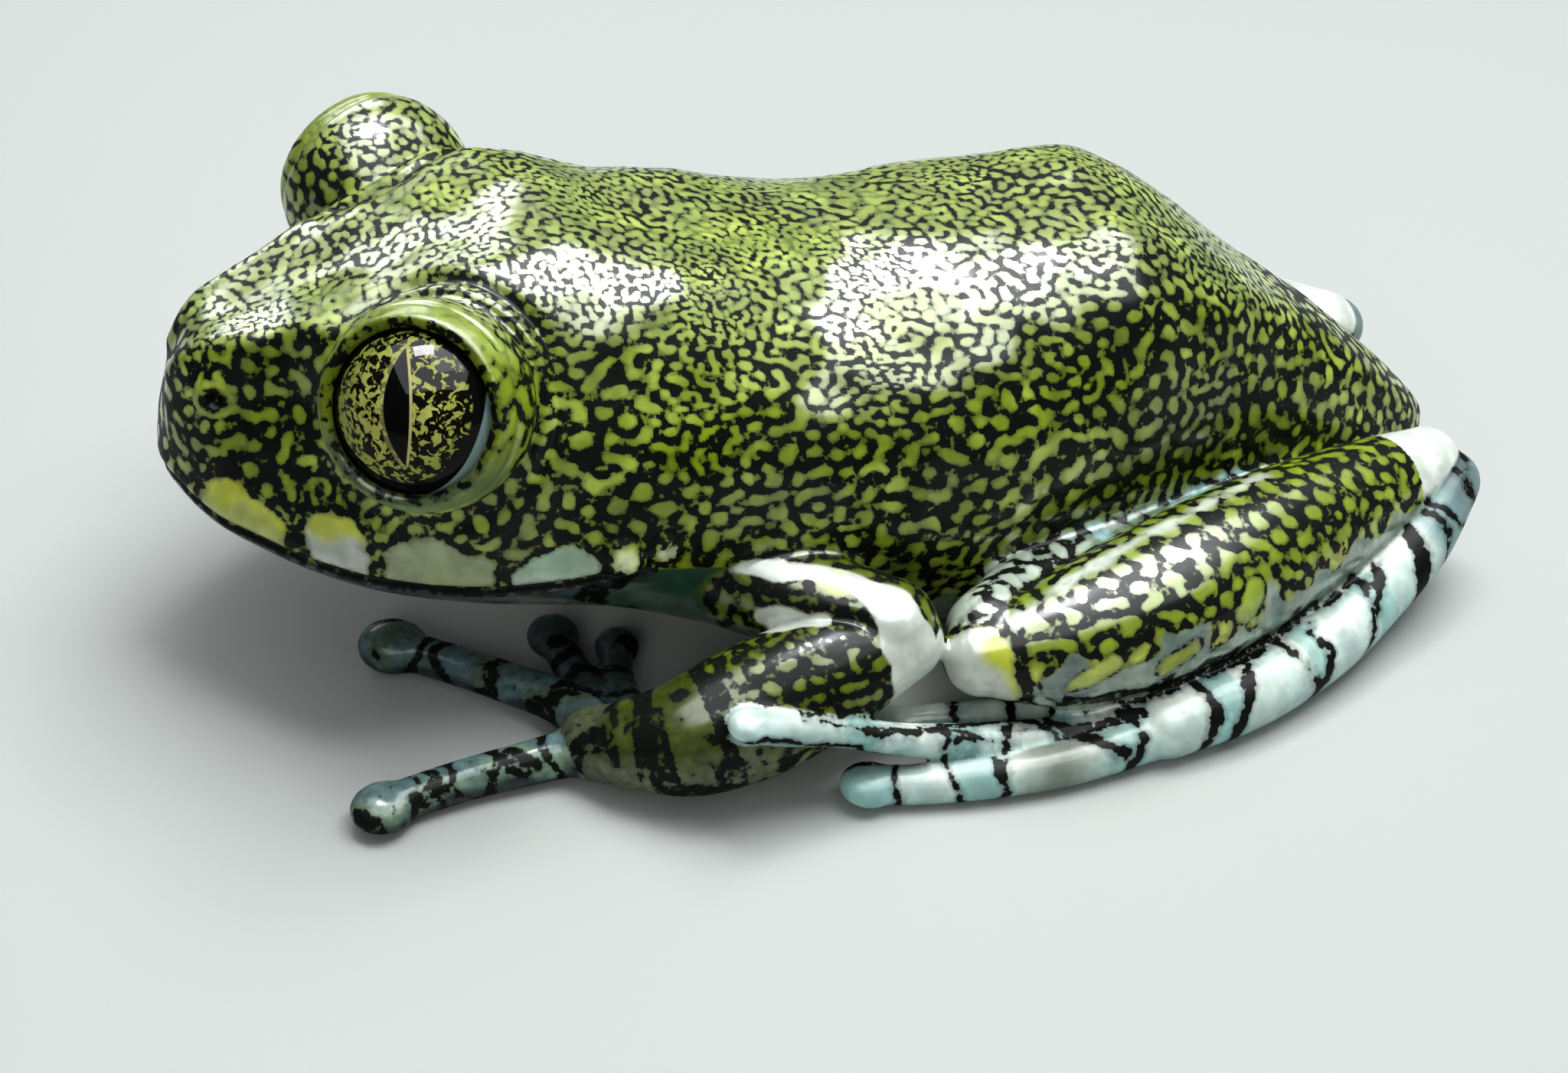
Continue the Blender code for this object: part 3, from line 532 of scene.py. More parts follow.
def along(line, points):
    """How far each point is off the surface of a limb, the length along the limb's line, and the unit way out
    from the line. Far points get a large gap."""
    knots = np.array([list(p) for p in smooth_line([Vector(p) for p in line], 6)])
    reach = knots[:, 3].max() + 1.0
    low, high = knots[:, :3].min(0) - reach, knots[:, :3].max(0) + reach
    near = np.flatnonzero(((points > low) & (points < high)).all(1))
    spots = points[near]
    found = np.zeros((len(points), 5))
    found[:, 0] = 99.0
    start = 0.0
    for a, b in zip(knots, knots[1:]):
        step = b[:3] - a[:3]
        size = np.linalg.norm(step)
        t = np.clip((spots - a[:3]) @ step / size ** 2, 0, 1)
        out = spots - a[:3] - t[:, None] * step
        far = np.linalg.norm(out, axis=1)
        gap = far - a[3] - t * (b[3] - a[3])
        closer = gap < found[near, 0]
        rows = np.column_stack((gap, start + t * size, out / np.maximum(far, 1e-6)[:, None]))
        found[near[closer]] = rows[closer]
        start += size
    return found[:, 0], found[:, 1], found[:, 2:]


def band_field(points, knots):
    """How far inside a band each point is. The band's knots are x, y, z and half its width."""
    found = np.full(len(points), -99.0)
    for a, b in zip(np.array(knots), np.array(knots)[1:]):
        step = b[:3] - a[:3]
        t = np.clip((points - a[:3]) @ step / (step @ step), 0, 1)
        off = np.linalg.norm(points - a[:3] - t[:, None] * step, axis=1)
        found = np.maximum(found, a[3] + t * (b[3] - a[3]) - off)
    return found


def off_line(points, knots):
    """How far each point is from a polyline."""
    return -band_field(points, [(*knot, 0.0) for knot in knots])


LIMBS = {"upper_arm": UPPER_ARM, "forearm": FOREARM, "palm": PALM, "thigh": THIGH, "shin": SHIN,
         "tarsus": TARSUS}
LIMBS.update({f"finger{i}": line for i, line in enumerate(FINGERS)})
LIMBS.update({f"toe{i}": line for i, line in enumerate(TOES)})


class Paint:
    """Each vertex's light colour, the field that is below 0 where the skin is black, and how wet it looks."""

    def __init__(self, field):
        self.tone = np.tile(LIME, (len(field), 1))
        self.light = field.copy()
        self.wet = np.ones(len(field))

    def colour(self, mask, colour):
        self.tone += mask[:, None] * (np.array(colour) - self.tone)

    def field(self, mask, values):
        self.light += mask * (values - self.light)

    def plain(self, mask, colour):
        """One colour with no net."""
        self.colour(mask, colour)
        self.field(mask, PLAIN)

    def dark(self, values, where=True):
        """Black where values is above 0."""
        self.light = np.where(where, np.minimum(self.light, -values), self.light)

    def bands(self, mask, values):
        """Black bands where values is above 0, and no net between them."""
        self.field(mask, np.minimum(PLAIN, -values))


def cross_bands(name, length, up, wobble):
    """How far inside one of the limb's dark cross bands each point is."""
    found = np.full(len(length), -1.0)
    for place, half, lean in BANDS.get(name, ()):
        found = np.maximum(found, half - np.abs(length + lean * up + 0.12 * wobble - place))
    return found


def paint_limbs(paint, points, net, wobble, speckle):
    """The limbs, on points mirrored to the left."""
    here = {name: along(line, points) for name, line in LIMBS.items()}
    for group, lines, pads in (("finger", FINGERS, FINGER_PADS), ("toe", TOES, TOE_PADS)):
        for i, (line, (radius, _)) in enumerate(zip(lines, pads)):
            tip, before = np.array(line[-1][:3]), np.array(line[-2][:3])
            middle = tip + (tip - before) / np.linalg.norm(tip - before) * radius * PAD_BEYOND_TIP
            here[f"{group}{i}"][0][distance(points, middle) < radius * 1.3] = -0.05
    nearest = np.min([found[0] for found in here.values()], axis=0)
    for name, (gap, length, way) in here.items():
        on = 1 - ramp(0.08, 0.3, gap)
        on *= 1 - ramp(0.0, 0.12, gap - nearest)
        out, up = way[:, 0], way[:, 2]
        if name not in ("upper_arm", "thigh", "shin"):
            paint.wet *= 1 - (0.45 if name == "forearm" else 0.7) * on
        if name == "upper_arm":
            paint_upper_arm(paint, on, length, up, net, wobble, speckle)
        elif name == "forearm":
            paint_forearm(paint, on, length, up, net, wobble, speckle)
        elif name == "palm":
            paint_palm(paint, on, up, wobble, speckle)
        elif name == "thigh":
            paint_thigh(paint, on, length, up, net, wobble, speckle)
        elif name == "shin":
            paint_shin(paint, on, points, length, up, net, wobble, speckle)
        elif name == "tarsus" or name.startswith("toe"):
            paint_foot(paint, name, on, length, out, up, wobble, speckle)
        else:
            paint_finger(paint, name, on, length, up, wobble, speckle)


def paint_palm(paint, on, up, wobble, speckle):
    # The palm's colours are darkened, as painted shade under the body.
    paint.colour(on, 0.45 * SAGE)
    paint.colour(on * ramp(0.2, -0.2, up), 0.4 * BELLY)
    paint.field(on, 0.16 * ramp(1.2, 0.4, speckle) + 0.05 * wobble - 0.02)


def paint_upper_arm(paint, on, length, up, net, wobble, speckle):
    paint.colour(on, OLIVE)
    paint.field(on, net + 0.02)
    chest = ramp(3.2, 2.4, length + 0.3 * wobble) * ramp(0.75, 0.55, up)
    chest = on * np.maximum(chest, ramp(0.0, -0.35, up + 0.1 * wobble))
    paint.colour(chest, TEAL)
    paint.field(chest, PLAIN - 0.4 * ramp(0.3, 1.0, speckle))


def paint_forearm(paint, on, length, up, net, wobble, speckle):
    lower = ramp(5.2, 6.6, length + 0.3 * wobble)
    # The forearm's colours are darkened and its black net is widened, as painted shade under the body.
    paint.colour(on, 0.55 * LIME)
    paint.field(on, net - 0.08)
    paint.colour(on * lower, 0.6 * OLIVE)
    paint.colour(on * lower * ramp(0.35, -0.05, up + 0.12 * wobble), 0.42 * SAGE)
    bands = cross_bands("forearm", length, up, wobble)
    paint.bands(on * lower, np.maximum(bands, 0.3 * ramp(0.9, 1.6, speckle) - 0.1))
    paint.colour(on * (1 - lower) * ramp(0.0, -0.35, up + 0.1 * wobble), 0.6 * SAGE)


def paint_thigh(paint, on, length, up, net, wobble, speckle):
    paint.colour(on, LIME)
    paint.field(on, net)
    strip = on * ramp(-0.2, 0.2, up) * ramp(3.0, 5.0, length)
    paint.colour(strip, 0.3 * (SKY + LIME))
    paint.colour(strip * ramp(0.0, 0.6, speckle), SKY)
    paint.colour(strip * ramp(12.5, 14.0, length), (MINT + WHITE) / 2)
    paint.field(strip, np.maximum(net + 0.08, -0.1 + 0.2 * wobble))
    paint.plain(on * ramp(0.1, -0.3, up + 0.1 * wobble), BELLY)


def paint_shin(paint, on, points, length, up, net, wobble, speckle):
    here = on > 0.5
    paint.colour(on, LIME)
    paint.field(on, net + 0.03)
    strip = up + 0.1 * wobble
    bright = on * ramp(0.45, 0.2, strip) * ramp(-0.25, 0.0, strip) * ramp(0.2, 0.8, speckle)
    paint.colour(bright, YELLOW)
    paint.field(bright, np.maximum(net, 0.05))
    paint.colour(0.55 * on * ramp(14.0, 16.5, length) * ramp(0.8, 0.3, strip), BRIGHT)
    pale = on * ramp(0.16, 0.04, strip + 0.16 * speckle)
    clouds = ramp(0.2, 0.9, waves(np.random.default_rng(CLOUD_SEED), points, 1.6))
    paint.colour(pale, SHIN_PALE)
    paint.colour(pale * clouds, SHIN_CLOUD)
    paint.field(pale, 0.2 - 0.35 * ramp(0.2, 1.0, speckle) * ramp(-0.25, 0.05, strip))
    for line, tint in SHIN_PATCHES:
        patch = band_field(points, line) + 0.08 * wobble
        paint.colour(ramp(0.0, 0.1, patch), tint)
        paint.field(ramp(-0.15, 0.0, patch), np.clip(patch, -0.1, PLAIN))
    inside = band_field(points, KNEE) + 0.06 * wobble
    knee = ramp(0.0, 0.1, inside) * (points[:, 0] > 8)
    paint.plain(knee, 0.78 * WHITE)
    outer = (points - np.array(KNEE_MIDDLE)) @ np.array(KNEE_OUT)
    paint.colour(knee * ramp(0.35, 0.85, outer + 0.1 * wobble), YELLOW)
    paint.dark(0.22 - np.abs(inside + 0.2), here)
    # A white painted highlight along the top of the shin, which also clears the net there.
    shine = on * bell(off_line(points, SHIN_HIGHLIGHT_LINE) + 0.12 * wobble, 0.34)
    paint.colour(shine, WHITE)
    paint.light += shine * 0.34
    paint.plain(on * ramp(19.3, 19.6, length + 0.12 * wobble) * ramp(0.0, 0.15, up), 1.1 * WHITE)
    paint.dark(0.22 - np.abs(up + 0.12), here & (length > 19.4))
    # A black line along the shin's underside, a painted shadow between the shin and the foot.
    paint.dark(0.3 - 2 * np.abs(up + 0.5 + 0.08 * wobble), here & (length > 2.5))


def paint_foot(paint, name, on, length, out, up, wobble, speckle):
    here = on > 0.5
    paint.colour(on, (SKY + WHITE) / 2)
    paint.colour(on * ramp(0.3, 0.9, up + 0.12 * speckle), WHITE)
    paint.colour(on * ramp(-0.3, 0.9, speckle) * 0.4, SKY)
    paint.colour(on * ramp(0.3, -0.5, up) * 0.7, GREY_BLUE)
    for limb, place, half in TURQUOISE_TILES:
        if limb == name:
            paint.colour(on * ramp(half, half * 0.7, np.abs(length - place)) * 0.62, TURQUOISE)
    # A grey stretch on the long toe: its own grey, darkened further as painted shade.
    if name == "toe0":
        paint.colour(on * bell(length - 4.6, 1.5) * 0.8, TOE_GREY_AND_SHADE)
    paint.bands(on, cross_bands(name, length, up, wobble))
    # The inner side of the tarsus and the long toe, facing the shin, is painted black: partly the skin's dark
    # edge, partly painted shadow from the shin.
    if name in ("tarsus", "toe0"):
        edge = -0.25 if name == "tarsus" else -0.55
        paint.dark(1.2 * (edge - out) + 0.08 * wobble, here & (length > 1.5))
    if name == "tarsus":
        paint.colour(on * ramp(3.8, 2.8, length), 0.5 * SKY)
        paint.colour(on * ramp(1.6, 0.8, length + 0.2 * wobble) * 0.8, HEEL_GREY)
    if name == "toe1":
        for place in (0.42, -0.3):
            bend = out - place + 0.12 * wobble + 0.16 * np.sin(length * 1.3 + 3 * place)
            line = 0.14 - 0.6 * np.abs(bend) - 0.16 * ramp(0.0, 0.8, np.sin(length * 0.9 + 5 * place))
            paint.dark(line, here & (length < 14.6))
        paint.colour(on * ramp(0.3, 0.7, np.sin(length * 1.6 + 1.0)) * 0.6 * (length < 14.2), TURQUOISE)
        paint.dark(0.16 - np.abs(up + 0.35 + 0.1 * wobble), here & (length > 12))


def paint_finger(paint, name, on, length, up, wobble, speckle):
    outer = name == "finger0"
    paint.colour(on, GREY_BLUE * (1.0 if outer else 0.6))
    paint.colour(on * ramp(-0.2, 0.8, speckle), MINT * (0.8 if outer else 0.35))
    # The lower half of each finger is darker, as painted shade.
    paint.colour(on * ramp(0.35, -0.2, up + 0.15 * wobble), 0.4 * SLATE)
    # The two inner fingers, under the chin, are darkened further as painted shade.
    if name in ("finger2", "finger3"):
        paint.colour(on * 0.8, 0.5 * SLATE)
    bands = cross_bands(name, length, up, wobble)
    paint.bands(on, np.maximum(bands, 0.2 * ramp(0.9, 1.6, speckle) - 0.1))


def paint_lips(paint, points, wobble):
    """The chin, the throat, the mouth line and the patches of the upper lip."""
    y, z = points[:, 1], points[:, 2]
    front = ramp(-8.2, -8.9, y)
    rise = z - mouth_height(y)
    edge = np.where(y < MOUTH_CORNER_Y, mouth_height(y), 6.8 - 0.1 * (y - MOUTH_CORNER_Y))
    below = ramp(-3.0, -5.0, y) * ramp(-0.02, -0.12, z - edge)
    paint.plain(below, 0.4 * SLATE)
    paint.colour(below * ramp(-0.7, -0.95, rise + 0.1 * wobble), 0.45 * BELLY)
    paint.colour(below * ramp(-0.7, -1.2, rise) * ramp(-12.0, -9.5, y + 0.5 * wobble), TEAL)
    paint.colour(below * ramp(-9.2, -8.4, y), TEAL)
    paint.dark(0.35 - np.abs(y + 10.6 - 0.5 * (rise + 1) + 0.25 * wobble), below > 0.5)
    for start, end, height, peak, low, high in LIP_PATCHES:
        share = (y - start) / (end - start)
        slope = np.abs(share - peak) / np.where(share < peak, peak, 1 - peak)
        top = height * (1 - 0.5 * slope ** 2.2) - rise + 0.14 * wobble
        ends = (end - start) * (0.5 - np.abs(share - 0.5)) + 0.16 * wobble - 0.25 * (rise / height) ** 2
        patch = np.minimum(np.minimum(ends, top), rise - 0.12)
        inside = front * ramp(-0.05, 0.1, patch)
        paint.colour(inside, low)
        paint.colour(inside * ramp(0.35, 0.7, rise / height + 0.1 * wobble), high)
        gate = front * ramp(-0.4, -0.15, patch) * ramp(-0.05, 0.02, rise)
        paint.field(gate, np.clip(patch, -PLAIN, PLAIN))
    return rise, front


def paint_lids(paint, points, right, wobble):
    away, way, angle = seen_from_eye(points, right)
    angle += np.where(right, OPENING_DEG[1] - OPENING_DEG[-1], 0.0)
    near = ramp(5.4, 4.6, away)
    low = ramp(0.1, -0.25, way[:, 2])
    paint.plain(near * ramp(86, 77, angle + 4 * wobble) * low, 0.3 * LIME + 0.25 * MINT)
    paint.wet *= 1 - 0.55 * near * ramp(80, 68, angle)
    rim = near * ramp(88, 78, angle)
    paint.colour(0.5 * rim * (1 - 0.8 * low), LIME)
    paint.light += 0.16 * rim
    paint.dark(-3.2 * np.radians(angle - OPENING_DEG[1] + 0.5), near > 0.5)
    over = near * ramp(-0.1, 0.25, way[:, 2]) * (angle > 74)
    paint.dark(0.06 - np.abs(away - 4.42 + 0.12 * wobble), over > 0.5)


def paint_head(paint, points, right, wobble):
    """The lips, the lids, the nostril and the bumps, on points mirrored to the left."""
    rise, front = paint_lips(paint, points, wobble)
    paint_lids(paint, points, right, wobble)
    pit = distance(points, NOSTRIL)
    paint.dark(0.36 - pit)
    paint.light = np.maximum(paint.light, 0.22 - 1.6 * np.abs(pit - 0.62))
    paint.dark(0.2 - np.abs(rise + 0.08), front > 0.5)
    for *spot, radius, _ in TUBERCLES:
        off = distance(points, spot)
        paint.plain(ramp(radius, radius * 0.75, off), 0.65 * (YELLOW + WHITE))
        paint.dark(0.12 - np.abs(off - radius * 1.15 + 0.1 * wobble))


def paint_arm_marks(paint, points, wobble):
    """The white band round the arm with the dark line, the pale patch and the yellow spot beside it."""
    paint.dark(band_field(points, ARM_LINE) + 0.06 * wobble)
    for band, colour in ((ARM_PATCH, 0.72 * WHITE), (ARM_BAND, 0.84 * WHITE)):
        field = band_field(points, band) + 0.06 * wobble
        paint.plain(ramp(-0.04, 0.1, field) * (points[:, 0] > 8.0), colour)
    spot = ramp(0.75, 0.4, distance(points, ARM_SPOT) + 0.15 * wobble)
    paint.colour(spot * 0.85, YELLOW)
    paint.light = np.maximum(paint.light, PLAIN * spot - 0.05)


def add_attribute(mesh, name, kind, key, values):
    mesh.attributes.new(name, kind, "POINT").data.foreach_set(key, values.astype(np.float32).ravel())


def paint_skin(mesh):
    """Writes the skin's colours, its net and its wetness as attributes of the mesh."""
    rng = np.random.default_rng(SEED)
    around = Neighbours(mesh)
    points = points_of(mesh)
    rise = vertex_values(mesh, "normal")[:, 2]
    folded, right = fold_left(points)
    y, z = folded[:, 1], folded[:, 2]
    upper = ramp(0.45, 0.85, rise) * ramp(9.0, 11.5, z)
    uneven = 1 + 0.14 * waves(rng, points, 2.6)
    lengths = (NET_FLANK + (NET_BACK - NET_FLANK) * upper) * np.clip(uneven, 0.7, 1.2)
    lengths = around.smooth(lengths, 0.6, 14)
    lore = ramp(-16.5, -19.0, y) * ramp(13.2, 12.0, z)
    net = around.net(rng, lengths, NET_OPEN + 0.16 * waves(rng, points, 1.8) + 0.32 * upper - 0.35 * lore)
    net -= 0.07 * (1 - upper)
    wobble = around.noise(rng, 0.9)
    speckle = waves(rng, points, 1.1)
    paint = Paint(net)
    paint.colour(ramp(0.5, 1.6, speckle) * 0.8, BRIGHT)
    paint.colour(ramp(-0.3, -1.5, speckle) * 0.6, OLIVE)
    # A painted sheen: the upper back and the top of the head are mixed toward a pale lime.
    paint.colour(upper * 0.3, SHEEN_LIME)
    paint.plain(ramp(3.4, 2.4, z + 0.25 * wobble) * ramp(0.0, -0.35, rise), BELLY)
    groin = np.linalg.norm((folded - np.array(GROIN)) / np.array(GROIN_RADII), axis=1)
    paint.colour(bell(groin, 1.0) * 0.55, TEAL)
    paint_head(paint, folded, right, wobble)
    paint_limbs(paint, folded, net, wobble, speckle)
    paint_arm_marks(paint, folded, wobble)
    for line in FOOT_LINES:
        paint.dark(band_field(folded, line) + 0.02 + 0.05 * wobble)
    uneven = 0.5 * waves(rng, points, 1.5)
    for *spot, radius in DRY_SPOTS:
        paint.wet *= 0.15 + 0.85 * ramp(-0.4, 0.4, distance(points, spot) - radius + uneven)
    paint.wet *= 1 - 0.5 * ramp(0.6, 1.5, waves(rng, points, 2.4))
    paint.wet *= 0.06 + 0.94 * ramp(2.0, 2.8, off_line(points, DRY_LINE) + uneven)
    tone = np.hstack((np.clip(paint.tone, 0, 1), np.ones((len(points), 1))))
    add_attribute(mesh, "tone", "FLOAT_COLOR", "color", tone)
    add_attribute(mesh, "wet", "FLOAT", "value", paint.wet)
    add_attribute(mesh, "light", "FLOAT", "value", np.clip(paint.light, -0.4, 0.4))


def arc(radius, start, end, count):
    """Points of an arc about the origin, as (along, out), for angles from start to end."""
    turns = [start + (end - start) * k / count for k in range(count + 1)]
    return [(radius * math.cos(a), radius * math.sin(a)) for a in turns]


def lathe(profile, axis, centre, name, segments=96, ring=False):
    """A closed solid turned about an axis. The profile, as (along, out), starts and ends on the axis, or is a
    ring beside it."""
    turn = Vector(axis).to_track_quat("Z", "Y").to_matrix()
    bm = bmesh.new()
    rows = []
    for a, r in profile:
        count = 1 if r < 1e-6 else segments
        turns = [2 * math.pi * k / count for k in range(count)]
        spots = [turn @ Vector((r * math.cos(t), r * math.sin(t), a)) for t in turns]
        rows.append([bm.verts.new((Vector(centre) + spot) * MM) for spot in spots])
    for low, high in zip(rows, rows[1:] + rows[:1] if ring else rows[1:]):
        for k in range(segments):
            corners = [row[(k + step) % len(row)] for row, step in ((low, 0), (low, 1), (high, 1), (high, 0))]
            bm.faces.new(list(dict.fromkeys(corners)))
    bmesh.ops.recalc_face_normals(bm, faces=bm.faces)
    return mesh_object(name, bm)


def socket_cutter(side):
    opening = math.radians(OPENING_DEG[side])
    out = CUTTER_REACH * math.sin(opening)
    profile = [(SOCKET_BACK, 0.0)]
    profile += arc(SOCKET_RADIUS, math.acos(SOCKET_BACK / SOCKET_RADIUS), opening, 24)
    profile += [(CUTTER_REACH * math.cos(opening), out), (CUTTER_TOP, out), (CUTTER_TOP, 0.0)]
    return lathe(profile, gaze(side), mirrored(EYE_CENTRE, side), "socket")


def lid_ring(side):
    """A thin ring that rounds the rim of the lids."""
    angle = math.radians(OPENING_DEG[side] + LID_RING_BEYOND_DEG)
    middle, out = LID_RING_RADIUS * math.cos(angle), LID_RING_RADIUS * math.sin(angle)
    section = arc(LID_RING_THICKNESS, 0.0, 2 * math.pi, 16)[:-1]
    profile = [(middle + a, out + r) for r, a in section]
    return lathe(profile, gaze(side), mirrored(EYE_CENTRE, side), "lid_ring", ring=True)


def remeshed(obj, voxel, rounds):
    remesh = obj.modifiers.new("skin", "REMESH")
    remesh.mode = "VOXEL"
    remesh.voxel_size = voxel * MM
    if rounds:
        smooth = obj.modifiers.new("smooth", "SMOOTH")
        smooth.factor = 0.5
        smooth.iterations = rounds
    return applied(obj, "skin")


def joined(pieces, name):
    bm = bmesh.new()
    for piece in pieces:
        bm.from_mesh(piece.data)
        bpy.data.objects.remove(piece)
    return mesh_object(name, bm)


def skin_form():
    """One closed skin over the body, the eye bulges and the limbs, with open sockets for the eyes."""
    pieces = [body_loft()]
    for side in (1, -1):
        pieces.append(ball(mirrored(EYE_CENTRE, side), [EYE_BULGE_RADIUS] * 3))
        pieces += [tube(side_line(line, side), LIMB_SIDES)
                   for line in (UPPER_ARM, FOREARM, PALM, THIGH, SHIN, TARSUS)]
        pieces += digits(FINGERS, FINGER_PADS, side) + digits(TOES, TOE_PADS, side)
    obj = remeshed(joined(pieces, "rough_skin"), ROUGH_VOXEL, 1)
    cutters = joined([socket_cutter(1), socket_cutter(-1)], "sockets")
    cut = obj.modifiers.new("sockets", "BOOLEAN")
    cut.operation = "DIFFERENCE"
    cut.solver = "MANIFOLD"
    cut.object = cutters
    obj = applied(obj, "open_skin")
    bpy.data.objects.remove(cutters)
    return remeshed(joined([obj, lid_ring(1), lid_ring(-1)], "lidded_skin"), SKIN_VOXEL, SKIN_SMOOTHING)


def shape_skin(mesh):
    """Folds, the mouth line, the nostrils, the bumps behind the mouth corner and the flats on the floor."""
    points = points_of(mesh)
    folded, right = fold_left(points)
    y, z = folded[:, 1], folded[:, 2]
    front = ramp(-8.4, -9.4, y)
    rise = z - mouth_height(y)
    push = front * (0.06 * bell(rise - 0.45, 0.35) - 0.2 * bell(rise, 0.16))
    away, way, angle = seen_from_eye(folded, right)
    behind = ramp(-0.3, 0.35, 0.7 * way[:, 1] + way[:, 2]) * ramp(66, 76, angle)
    push += behind * (0.16 * bell(away - 4.05, 0.3) - 0.2 * bell(away - 4.45, 0.3))
    push -= 0.08 * bell(angle - np.where(right, 66.0, 77.0), 2.6) * ramp(4.6, 4.2, away)
    nose = distance(folded, NOSTRIL)
    push += 0.1 * bell(nose - 0.42, 0.2) - 0.35 * bell(nose, 0.24)
    push += 0.2 * bell(off_line(folded, CANTHUS), 0.5) - 0.24 * bell(off_line(folded, LORE), 0.9)
    upper_arm_gap, forearm_gap = along(UPPER_ARM, folded)[0], along(FOREARM, folded)[0]
    elbow = ramp(-1.4, -2.4, y) * ramp(0.5, 0.3, upper_arm_gap)
    push -= 0.16 * bell(upper_arm_gap - forearm_gap, 0.22) * elbow
    for *spot, radius, height in TUBERCLES:
        push += height * np.exp(-((distance(folded, spot) / radius) ** 4))
    rng = np.random.default_rng(SEED + 1)
    trunk = ramp(6.5, 9.0, z) * ramp(4.2, 5.2, away)
    push += (0.07 * waves(rng, points, 3.2) + 0.02 * waves(rng, points, 1.0)) * trunk
    points += vertex_values(mesh, "normal") * push[:, None]
    points[:, 2] = np.maximum(points[:, 2], 0.0)
    mesh.vertices.foreach_set("co", (points * MM).astype(np.float32).ravel())
    mesh.update()


class Graph:
    """A material and its nodes. A value given to a method is a number, a colour or a node's output."""

    def __init__(self, name):
        self.material = bpy.data.materials.new(name)
        self.material.use_nodes = True
        self.tree = self.material.node_tree
        self.shader = self.tree.nodes["Principled BSDF"]

    def feed(self, socket, value):
        if hasattr(value, "links"):
            self.tree.links.new(value, socket)
        else:
            socket.default_value = value

    def shade(self, **values):
        """Sets the shader's inputs. An underscore in a name stands for a space."""
        for name, value in values.items():
            self.feed(self.shader.inputs[name.replace("_", " ")], value)

    def node(self, kind, inputs=(), **settings):
        """A new node, with its first inputs fed in order."""
        made = self.tree.nodes.new(f"ShaderNode{kind}")
        for name, value in settings.items():
            setattr(made, name, value)
        for socket, value in zip(made.inputs, inputs):
            self.feed(socket, value)
        return made

    def attribute(self, name, output):
        return self.node("Attribute", attribute_name=name).outputs[output]

    def math(self, operation, *values):
        return self.node("Math", values, operation=operation).outputs[0]

    def step(self, value, low, high, to_low=0.0, to_high=1.0):
        values = (value, low, high, to_low, to_high)
        return self.node("MapRange", values, interpolation_type="SMOOTHSTEP").outputs["Result"]

    def mix(self, share, a, b, blend="MIX"):
        made = self.node("Mix", data_type="RGBA", blend_type=blend)
        for socket, value in ((0, share), (6, a), (7, b)):
            self.feed(made.inputs[socket], (*value, 1) if isinstance(value, tuple) else value)
        return made.outputs[2]

    def noise(self, vector, size, detail, distortion=0.0):
        made = self.node("TexNoise", (vector,))
        for name, value in (("Scale", 1 / size), ("Detail", detail), ("Distortion", distortion)):
            self.feed(made.inputs[name], value)
        return made.outputs["Fac"]


def skin_material():
    graph = Graph("frog_skin")
    step = graph.step
    spots = graph.node("TexCoord").outputs["Object"]
    fine = graph.noise(spots, 0.36 * MM, 3.5)
    broad = graph.noise(spots, 0.9 * MM, 2.0)
    field = graph.math("MULTIPLY_ADD", fine, 0.5, graph.attribute("light", "Fac"))
    field = graph.math("SUBTRACT", field, 0.25)
    shade = graph.math("MULTIPLY", step(field, 0.0, 0.26, 0.62, 1.2), step(broad, 0.3, 0.75, 0.8, 1.15))
    lit = graph.mix(1.0, graph.attribute("tone", "Color"), shade, "MULTIPLY")
    wet = graph.math("MULTIPLY", step(field, -0.03, 0.08, 0.16, 1.0), graph.attribute("wet", "Fac"))
    height = graph.math("MULTIPLY_ADD", step(field, -0.12, 0.2), 0.6, graph.math("MULTIPLY", fine, 0.4))
    bump = graph.node("Bump")
    for name, value in (("Strength", 0.8), ("Distance", 0.035 * MM), ("Height", height)):
        graph.feed(bump.inputs[name], value)
    graph.shade(Base_Color=graph.mix(step(field, -0.018, 0.03), BLACK, lit), Normal=bump.outputs["Normal"],
                Roughness=step(field, -0.1, 0.15, 0.6, 0.36), Specular_IOR_Level=0.03,
                Coat_Weight=wet, Coat_Roughness=0.2, Coat_IOR=1.7)
    return graph.material


def make_skin():
    obj = skin_form()
    shape_skin(obj.data)
    paint_skin(obj.data)
    obj.name = "frog_skin"
    obj.data.materials.clear()
    obj.data.materials.append(skin_material())
    obj.data.shade_smooth()
    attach(obj, "root")
    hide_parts(*[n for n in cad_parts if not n.startswith("eye")])


